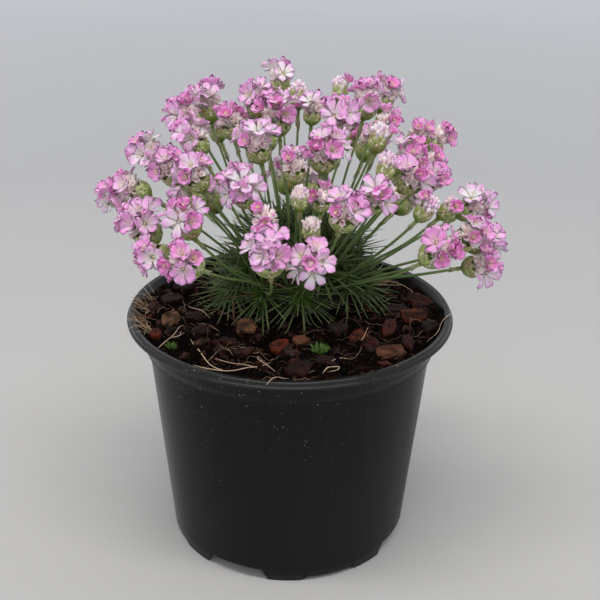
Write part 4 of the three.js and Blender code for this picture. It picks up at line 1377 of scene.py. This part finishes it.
# Cups: rows of overlapping bracts laid on a bowl, each rounded at its end and hollow towards the head
def makeCups(axis, base, width, kind, draw, parcel):
    count = len(axis)
    frames = squareFrames(axis, draw.uniform(0, 2 * np.pi, count))
    depth, rim = kind["depthShare"] * width + plant["gap"], cup["rimShare"] * width
    along, across = np.array(cup["along"])[:, None], np.array(cup["across"])
    foot = base - axis * depth[:, None]
    for order, (leaves, start, end, half) in enumerate(kind["rows"]):
        middle = np.arange(leaves) * 2 * np.pi / leaves + order * 0.37
        middle = (middle + draw.uniform(0, anyTurn, (count, 1)))[..., None, None]
        reach = draw.uniform(0.9, 1.08, (count, leaves))[..., None, None]
        share = start + (end - start) * along * (1 - 0.2 * across**2 * along**2) * reach
        spread = half * np.interp(along, [0, 0.4, 0.78, 1.0], [0.8, 1.0, 0.84, 0.34])
        out = rim[:, None, None, None] * cupRadius(share) + 0.18 - 0.05 * order + 0.03 * along**2
        out = out + 0.04 * (1 - across**2)
        local = polar(out, middle + across * spread, share * depth[:, None, None, None])
        grids = carry(local, frames, foot).reshape(-1, *local.shape[2:])
        tone = draw.uniform(0, 1, count * leaves)
        parcel.leaves(grids, cup["thickness"], along, np.abs(across), tone=tone)
    bowl, quads, fans = globe(9, 12)
    slim = cupRadius(1 + bowl[:, 2]) / np.maximum(np.sqrt(1 - bowl[:, 2] ** 2), 0.05)
    bowl[:, :2] *= np.where(bowl[:, 2] < 0, np.minimum(slim, 1), 1)[:, None]
    bowl[:, 2] *= np.where(bowl[:, 2] > 0, 0.25, 1)
    size = np.stack([rim, rim, depth], axis=1)[:, None] * 0.98
    parcel.add(carry(bowl * size, frames, base), quads, fans, along=0.0)


# A petal's middle line has points at "along" and its rows are "widths" of its full half width. A
# funnel's rows run up its outside and down its inside.
bloom = {
    "floretRadius": 5.95,
    "floretShare": 0.0185,
    "fewest": 1.8,
    "countAt": [0, 0.15, 0.3, 0.6, 1],
    "countShare": [0, 0.0, 0.3, 0.8, 1],
    "calyxShare": 0.085,
    "throatShare": 0.26,
    "heartShare": 0.27,
    "lowest": 0.26,
    "calyxLowest": -0.25,
    "calyxApart": 0.95,
    "petals": 5,
    "leanStart": 12.0,
    "leanFrom": 22.0,
    "leanGain": 68.0,
    "leanUneven": (-0.3, 0.4),
    "longer": 1.14,
    "lengths": (0.88, 1.08),
    "openAt": [0, 0.45, 0.75, 1],
    "halfWidths": [0.36, 0.45, 0.405, 0.315],
    "curl": (-0.16, 0.3),
    "petalThickness": 0.09,
    "along": [0, 0.2, 0.42, 0.64, 0.84, 1.0],
    "across": [-1, -0.55, 0, 0.55, 1.0],
    "widths": [0.18, 0.34, 0.66, 0.93, 1.0, 0.68],
    "notch": 0.05,
    "funnel": {
        "height": [-4.6, -1.6, 0.9, 0.85, -1.6, -4.6],
        "wide": [0.4, 0.85, 1.75, 1.6, 0.7, 0.25],
        "opened": [0, 0.3, 1, 1, 0.3, 0],
        "lobed": [0, 0.05, 1, 1, 0.05, 0],
        "along": [0, 0.5, 1, 1, 0.5, 0],
        "columns": 10,
    },
    "stamens": 5,
    "stamenLean": (12, 46),
    "stamenShare": 0.66,
    "threadHalf": 0.065,
    "antherHalf": [0.12, 0.24, 0.24, 0.12],
    "closedBelow": 0.35,
    "seed": 77,
}


# Petals of all florets. The middle line of a petal leaves the throat steeply and turns outwards; its half
# width grows to the outer third and rounds off to a shallow notch; its sides curl up a little.
def addPetals(parcel, place, frames, radius, opening, draw):
    along, across = np.array(bloom["along"]), np.array(bloom["across"])
    each, column = (len(place), bloom["petals"]), along[:, None]
    size = radius[:, None, None]
    turn = np.arange(each[1]) * 2 * np.pi / each[1] + draw.uniform(-0.12, 0.12, each)
    start = np.radians(bloom["leanStart"])
    end = np.radians(bloom["leanFrom"] + bloom["leanGain"] * opening)[:, None]
    end = end + draw.uniform(*bloom["leanUneven"], each)
    lean = start + (end[..., None] - start) * along**0.75
    long = size * bloom["longer"] * draw.uniform(*bloom["lengths"], each)[..., None]
    step = np.diff(along, prepend=0)
    middleLean = (lean + np.concatenate([lean[..., :1], lean[..., :-1]], axis=-1)) / 2
    out = (0.4 + np.cumsum(np.sin(middleLean) * step, axis=-1) * long)[..., None]
    up = (np.cumsum(np.cos(middleLean) * step, axis=-1) * long)[..., None]
    share = np.interp(opening, bloom["openAt"], bloom["halfWidths"])[:, None, None]
    half = share * bloom["widths"] * size * draw.uniform(0.9, 1.1, each)[..., None]
    back = 0.14 * across**2 + bloom["notch"] * np.exp(-((across / 0.3) ** 2)) + 0.03 * np.sin(across * 9)
    pull = column**3 * back * long[..., None]
    curl = draw.uniform(*bloom["curl"], each)[..., None, None] * across**2 * column**1.5
    depth = np.interp(opening, [0.3, 1.0], [0.09, 0.035])[:, None, None, None]
    ruffle = depth * np.sin(across * 5 + draw.uniform(0, anyTurn, (*each, 1, 1))) * column**2
    fold = -0.05 * np.exp(-((across / 0.25) ** 2)) * np.sin(np.pi * column)
    rise = (curl + ruffle + fold) * size[..., None]
    sine, cosine = np.sin(lean)[..., None], np.cos(lean)[..., None]
    outward = out - pull * sine - rise * cosine
    upward = up - pull * cosine + rise * sine
    aside = half[..., None] * across
    cosine, sine = np.cos(turn)[..., None, None], np.sin(turn)[..., None, None]
    local = np.stack([outward * cosine - aside * sine, outward * sine + aside * cosine, upward], axis=-1)
    grids = carry(local, frames, place).reshape(-1, *local.shape[2:])
    tone = np.repeat(draw.uniform(0, 1, each[0]), each[1]) * 0.7 + 0.3 * draw.uniform(0, 1, len(grids))
    opening = np.repeat(opening, each[1])
    parcel.leaves(grids, bloom["petalThickness"], column, across, opening=opening, tone=tone)


# Papery funnels under the florets: a ribbed tube that widens to a five-lobed rim, with a thin wall
def addFunnels(parcel, place, frames, size, flare, draw):
    names = ("height", "wide", "opened", "lobed", "along")
    height, wide, opened, lobed, along = (np.array(bloom["funnel"][name])[:, None] for name in names)
    count, columns = len(place), bloom["funnel"]["columns"]
    turn, size, flare = circle(columns), size[:, None, None], flare[:, None, None]
    ribs = np.cos(5 * turn)
    radius = wide * (1 + 0.1 * ribs) * size * (1 - opened * (1 - flare))
    radius = radius * (1 + 0.09 * draw.uniform(-1, 1, (count, len(height), columns)))
    local = polar(radius, turn, (height + 0.42 * ribs * lobed) * size)
    parcel.add(
        carry(local, frames, place).reshape(count, -1, 3), gridFaces(len(height), columns, True, True),
        material=1, along=np.broadcast_to(along, radius.shape), across=np.broadcast_to(ribs, radius.shape),
        tone=draw.uniform(0, 1, count),
    )


# Stamens: thin threads that spread from the throat, each with a short thick anther at its end
def addStamens(parcel, place, frames, radius, opening, draw):
    each = (len(place), bloom["stamens"])
    turn = np.arange(each[1]) * 2 * np.pi / each[1] + draw.uniform(-0.4, 0.4, each)
    lean = np.radians(draw.uniform(*bloom["stamenLean"], each)) * opening[:, None]
    way = carry(polar(np.sin(lean), turn, np.cos(lean)), frames, 0 * place)
    long = (radius * bloom["stamenShare"])[:, None] * draw.uniform(0.8, 1.15, each)
    end = (place[:, None] + way * long[..., None])[..., None, :]
    root = (place[:, None] + 0.1 * way)[..., None, :]
    share = np.linspace(0, 1, 3)[:, None]
    threads = (root * (1 - share) + end * share).reshape(-1, 3, 3)
    cross = unit(np.cross(way, draw.normal(size=way.shape)) + 0.5 * way)
    anthers = (end + cross[..., None, :] * 0.85 * np.linspace(-0.5, 0.5, 4)[:, None]).reshape(-1, 4, 3)
    thin = np.full(threads.shape[:2], bloom["threadHalf"])
    parcel.tubes(threads, thin, thin, 3, graded=False, material=2)
    fat = np.array(bloom["antherHalf"]) * np.ones((len(anthers), 1))
    parcel.tubes(anthers, fat, fat * 0.8, 4, graded=False, material=3)


# Open florets of one head, on a globe about its heart
def addFlorets(parcel, axis, heart, headFrame, local, width, opening, draw):
    count = len(local)
    direction = local @ headFrame
    state = np.clip(opening + draw.uniform(-0.62, 0.12, count), 0.28, 1.0)
    radius = bloom["floretRadius"] * np.interp(width, [9, 13, 18], [0.8, 0.94, 1.06])
    radius = radius * draw.uniform(0.9, 1.1, count) * np.interp(state, [0.2, 0.6, 1], [0.7, 0.88, 1.0])
    throat = bloom["throatShare"] * width * draw.uniform(0.92, 1.08, count)
    place = heart + direction * throat[:, None]
    nod = unit(direction + 0.3 * axis + 0.2 * draw.normal(size=direction.shape))
    frames = squareFrames(nod, draw.uniform(0, anyTurn, count))
    addPetals(parcel, place, frames, radius, state, draw)
    addFunnels(parcel, place, frames, radius / 4.6, np.ones(count), draw)
    addStamens(parcel, place, frames, radius, state, draw)
    wide, long = np.full(count, 0.62), np.full(count, 0.5)
    parcel.knobs(place + nod * 0.25, frames, wide, long, 5, 6, material=3)


# Papery funnels between the florets, some with a bud in them. In a closed head they stand more upright,
# and only on its upper part.
def addCalyces(parcel, axis, heart, headFrame, florets, width, opening, draw):
    closed = opening < bloom["closedBelow"]
    total = int(round(bloom["calyxShare"] * width**2 + (14 if closed else 6)))
    lowest = 0.15 if closed else bloom["calyxLowest"]
    around = unit(domeDirections(total, lowest) + 0.08 * draw.normal(size=(total, 3)))
    if len(florets):
        around = around[(around @ florets.T).max(axis=1) < bloom["calyxApart"]]
    count, direction = len(around), around @ headFrame
    place = heart + direction * (width * draw.uniform(0.25, 0.33, count))[:, None]
    nod = unit(direction + axis * (2.4 if closed else 0.35) + 0.1 * draw.normal(size=direction.shape))
    frames = squareFrames(nod, draw.uniform(0, anyTurn, count))
    size = np.interp(width, [9, 15], [0.72, 0.95]) * draw.uniform(0.85, 1.1, count)
    flare = draw.uniform(0.5, 0.85, count) * (0.6 if closed else 1.0)
    addFunnels(parcel, place, frames, size, flare, draw)
    bud = draw.uniform(0, 1, count) < (min(0.8, 4 * opening) if closed else 0.14)
    share, along = (0.8, 0.5) if closed else (0.6, 0.8)
    parcel.knobs(
        (place + nod * 0.2)[bud], frames[bud], (size * 0.8)[bud], (size * 1.7)[bud], 6, 7,
        opening=share, tone=draw.uniform(0, 1, bud.sum()), across=0.0, along=along,
    )


# One head: florets, calyces, and a small globe as its heart
def addHead(parcel, axis, base, width, opening, draw):
    headFrame = squareFrames(axis[None], np.array([draw.uniform(0, anyTurn)]))[0]
    heart = base + axis * bloom["heartShare"] * width
    full = bloom["floretShare"] * width**2 + bloom["fewest"]
    count = int(round(full * np.interp(opening, bloom["countAt"], bloom["countShare"])))
    local = domeDirections(max(count, 1), bloom["lowest"])
    local = unit(local + 0.13 * draw.normal(size=local.shape))[:count]
    if count:
        addFlorets(parcel, axis, heart, headFrame, local, width, opening, draw)
    addCalyces(parcel, axis, heart, headFrame, local, width, opening, draw)
    ball, quads, fans = globe(8, 10)
    shape = ball * [0.17, 0.17, 0.22] * width
    parcel.add(shape @ headFrame + heart, quads, fans, material=1, along=1.0)


def makeBlooms():
    kinds = (
        ("flower_head", "pink_petal", [[row] for row in openHeads]),
        ("closed_head", "closed_petal", [[row] for row in closedHeads]),
        ("far_heads", "pink_petal", farHeads),
    )
    seed = bloom["seed"]
    for kind, slot, groups in kinds:
        for number, rows in enumerate(groups):
            draw = np.random.default_rng(seed)
            parcel = Parcel()
            for head in zip(*headFrames(rows)):
                addHead(parcel, *head, draw)
            node = f"{kind}_{number + 1:02d}"
            parcel.build("bloom_" + node, [petal, calyx, filament, anther], slot, node)
            seed += 1


# Petals: white at the throat and pink outwards, deeper while cupped, with veins and a darker edge. The deeper
# pink of a cupped floret is partly its own colour and partly painted shade inside the cup.
def petalFinish():
    pink = Finish("petal", 0.48, 0.25, 0.85, 0.00022)
    pink.feed(pink.inputs["Sheen Weight"], 0.06)
    pink.feed(pink.inputs["Sheen Roughness"], 0.4)
    opened = pink.ramp(
        "along", (0.0, (0.86, 0.86, 0.64)), (0.2, (0.96, 0.93, 0.92)), (0.46, (0.94, 0.77, 0.9)),
        (0.78, (0.89, 0.53, 0.81)), (1.0, (0.88, 0.44, 0.76)),
    )
    # Deeper pink: partly the cupped floret's own colour, partly painted shade inside it
    cupped = pink.ramp(
        "along", (0.0, (0.88, 0.78, 0.6)), (0.25, (0.88, 0.57, 0.72)),
        (0.6, (0.83, 0.3, 0.61)), (1.0, (0.86, 0.33, 0.69)),
    )
    tint = pink.mix(pink.ramp("opening", (0.4, 0.0), (0.85, 1.0)), cupped, opened)
    wave = pink.maths("SINE", pink.scaled("across", 17.0))
    faded = pink.ramp("along", (0.05, 0.05), (0.3, 0.15), (0.95, 0.05))
    veins = pink.times(pink.ramp(wave, (0.4, 0.0), (0.98, 1.0)), faded)
    tint = pink.mix(veins, tint, (0.62, 0.14, 0.45))
    edge = pink.maths("POWER", pink.maths("ABSOLUTE", "across"), 3.0)
    tint = pink.mix(pink.scaled(edge, 0.16), tint, (0.9, 0.34, 0.74))
    uneven = pink.ramp("tone", (0.0, (0.95, 0.72, 0.9)), (0.5, (1.0, 1.0, 1.0)), (1.0, (1.04, 1.25, 1.06)))
    pink.colour(pink.mottle(0.25, pink.times(tint, uneven), pink.noise(420), 0.82, 1.15))
    pink.bump(pink.mix(0.5, wave, pink.noise(1400, 2)), 0.18, 0.12)
    return pink.material


def calyxFinish():
    paper = Finish("calyx_paper", 0.6, through=0.45, depth=0.00025)
    tint = paper.ramp(
        "along", (0.0, (0.4, 0.44, 0.18)), (0.3, (0.78, 0.62, 0.52)),
        (0.6, (0.93, 0.78, 0.74)), (1.0, (0.97, 0.88, 0.88)),
    )
    tint = paper.mix(paper.ramp("across", (0.2, 0.0), (0.9, 0.28)), tint, (0.55, 0.3, 0.26))
    tint = paper.mix(paper.ramp("tone", (0.45, 0.0), (0.9, 0.5)), tint, (0.86, 0.5, 0.62))
    paper.colour(paper.mottle(0.4, tint, paper.noise(700), 0.7, 1.2))
    paper.bump(paper.noise(900), 0.3, 0.15)
    return paper.material


def threadFinish():
    thread = Finish("stamen_thread", 0.5, through=0.5, depth=0.0002)
    thread.colour(thread.ramp(thread.noise(500, 2), (0.3, (0.82, 0.76, 0.74)), (0.7, (0.95, 0.92, 0.9))))
    return thread.material


def antherFinish():
    pollen = Finish("anther", 0.7)
    pollen.colour(pollen.ramp(pollen.noise(900), (0.35, (0.66, 0.5, 0.2)), (0.65, (0.88, 0.8, 0.5))))
    pollen.bump(pollen.noise(2500, 2), 0.4, 0.08)
    return pollen.material


def bractFinish():
    bract = Finish("cup_bract", 0.46, through=0.35, depth=0.0003)
    edge = bract.maths("MAXIMUM", bract.maths("POWER", "across", 3.0), "along")
    tint = bract.ramp(
        edge, (0.15, (0.16, 0.28, 0.035)), (0.55, (0.28, 0.39, 0.07)),
        (0.82, (0.45, 0.48, 0.19)), (1.0, (0.76, 0.68, 0.54)),
    )
    tint = bract.mottle(0.5, tint, bract.noise(500, 4, 0.6), 0.65, 1.3)
    bract.colour(bract.mix(bract.ramp("tone", (0.7, 0.0), (1.0, 0.45)), tint, (0.4, 0.17, 0.13)))
    bract.bump(bract.noise(800), 0.35, 0.15)
    return bract.material


# Stalks: darker towards the cushion, painted shade on the lower stalks, and lighter green near the heads
def stalkFinish():
    stem = Finish("stalk", 0.5, through=0.25, depth=0.0003)
    tint = stem.ramp(
        "along", (0.0, (0.075, 0.115, 0.04)), (0.6, (0.14, 0.22, 0.075)), (1.0, (0.28, 0.38, 0.12)),
    )
    tint = stem.times(tint, stem.ramp("tone", (0.0, (0.75, 0.8, 0.78)), (1.0, (1.25, 1.15, 1.1))))
    stem.colour(stem.mottle(0.4, tint, stem.noise(300, 3, 0.6, (3, 3, 1)), 0.7, 1.25))
    stem.bump(stem.noise(1500, 2), 0.25, 0.06)
    return stem.material


def sheathFinish():
    skin = Finish("sheath_paper", 0.6, through=0.4, depth=0.00025)
    tint = skin.ramp("along", (0.0, (0.24, 0.34, 0.11)), (0.5, (0.36, 0.42, 0.2)), (1.0, (0.5, 0.46, 0.3)))
    tint = skin.mix(skin.ramp("tone", (0.6, 0.0), (1.0, 0.4)), tint, (0.36, 0.2, 0.12))
    skin.colour(skin.mottle(0.5, tint, skin.noise(500, 4, 0.6, (3, 3, 1)), 0.6, 1.3))
    skin.bump(skin.noise(900, 3, 0.6, (3, 3, 0.6)), 0.5, 0.12)
    return skin.material


petal, calyx, filament, anther = petalFinish(), calyxFinish(), threadFinish(), antherFinish()
cupBract, stalkGreen, sheath = bractFinish(), stalkFinish(), sheathFinish()
openRows = openHeads + [row for pair in farHeads for row in pair]
makeStalks(*headFrames(openRows + closedHeads)[:3])
print("stalks are made")


def makeAllCups():
    draw = np.random.default_rng(plant["seed"] + 1)
    parcel = Parcel()
    makeCups(*headFrames(openRows)[:3], cup["open"], draw, parcel)
    makeCups(*headFrames(closedHeads)[:3], cup["closed"], draw, parcel)
    parcel.build("flower_cups", [cupBract], "green_leaf", "cushion_and_stalks")


makeAllCups()
makeBlooms()
print("cups and blooms are made")
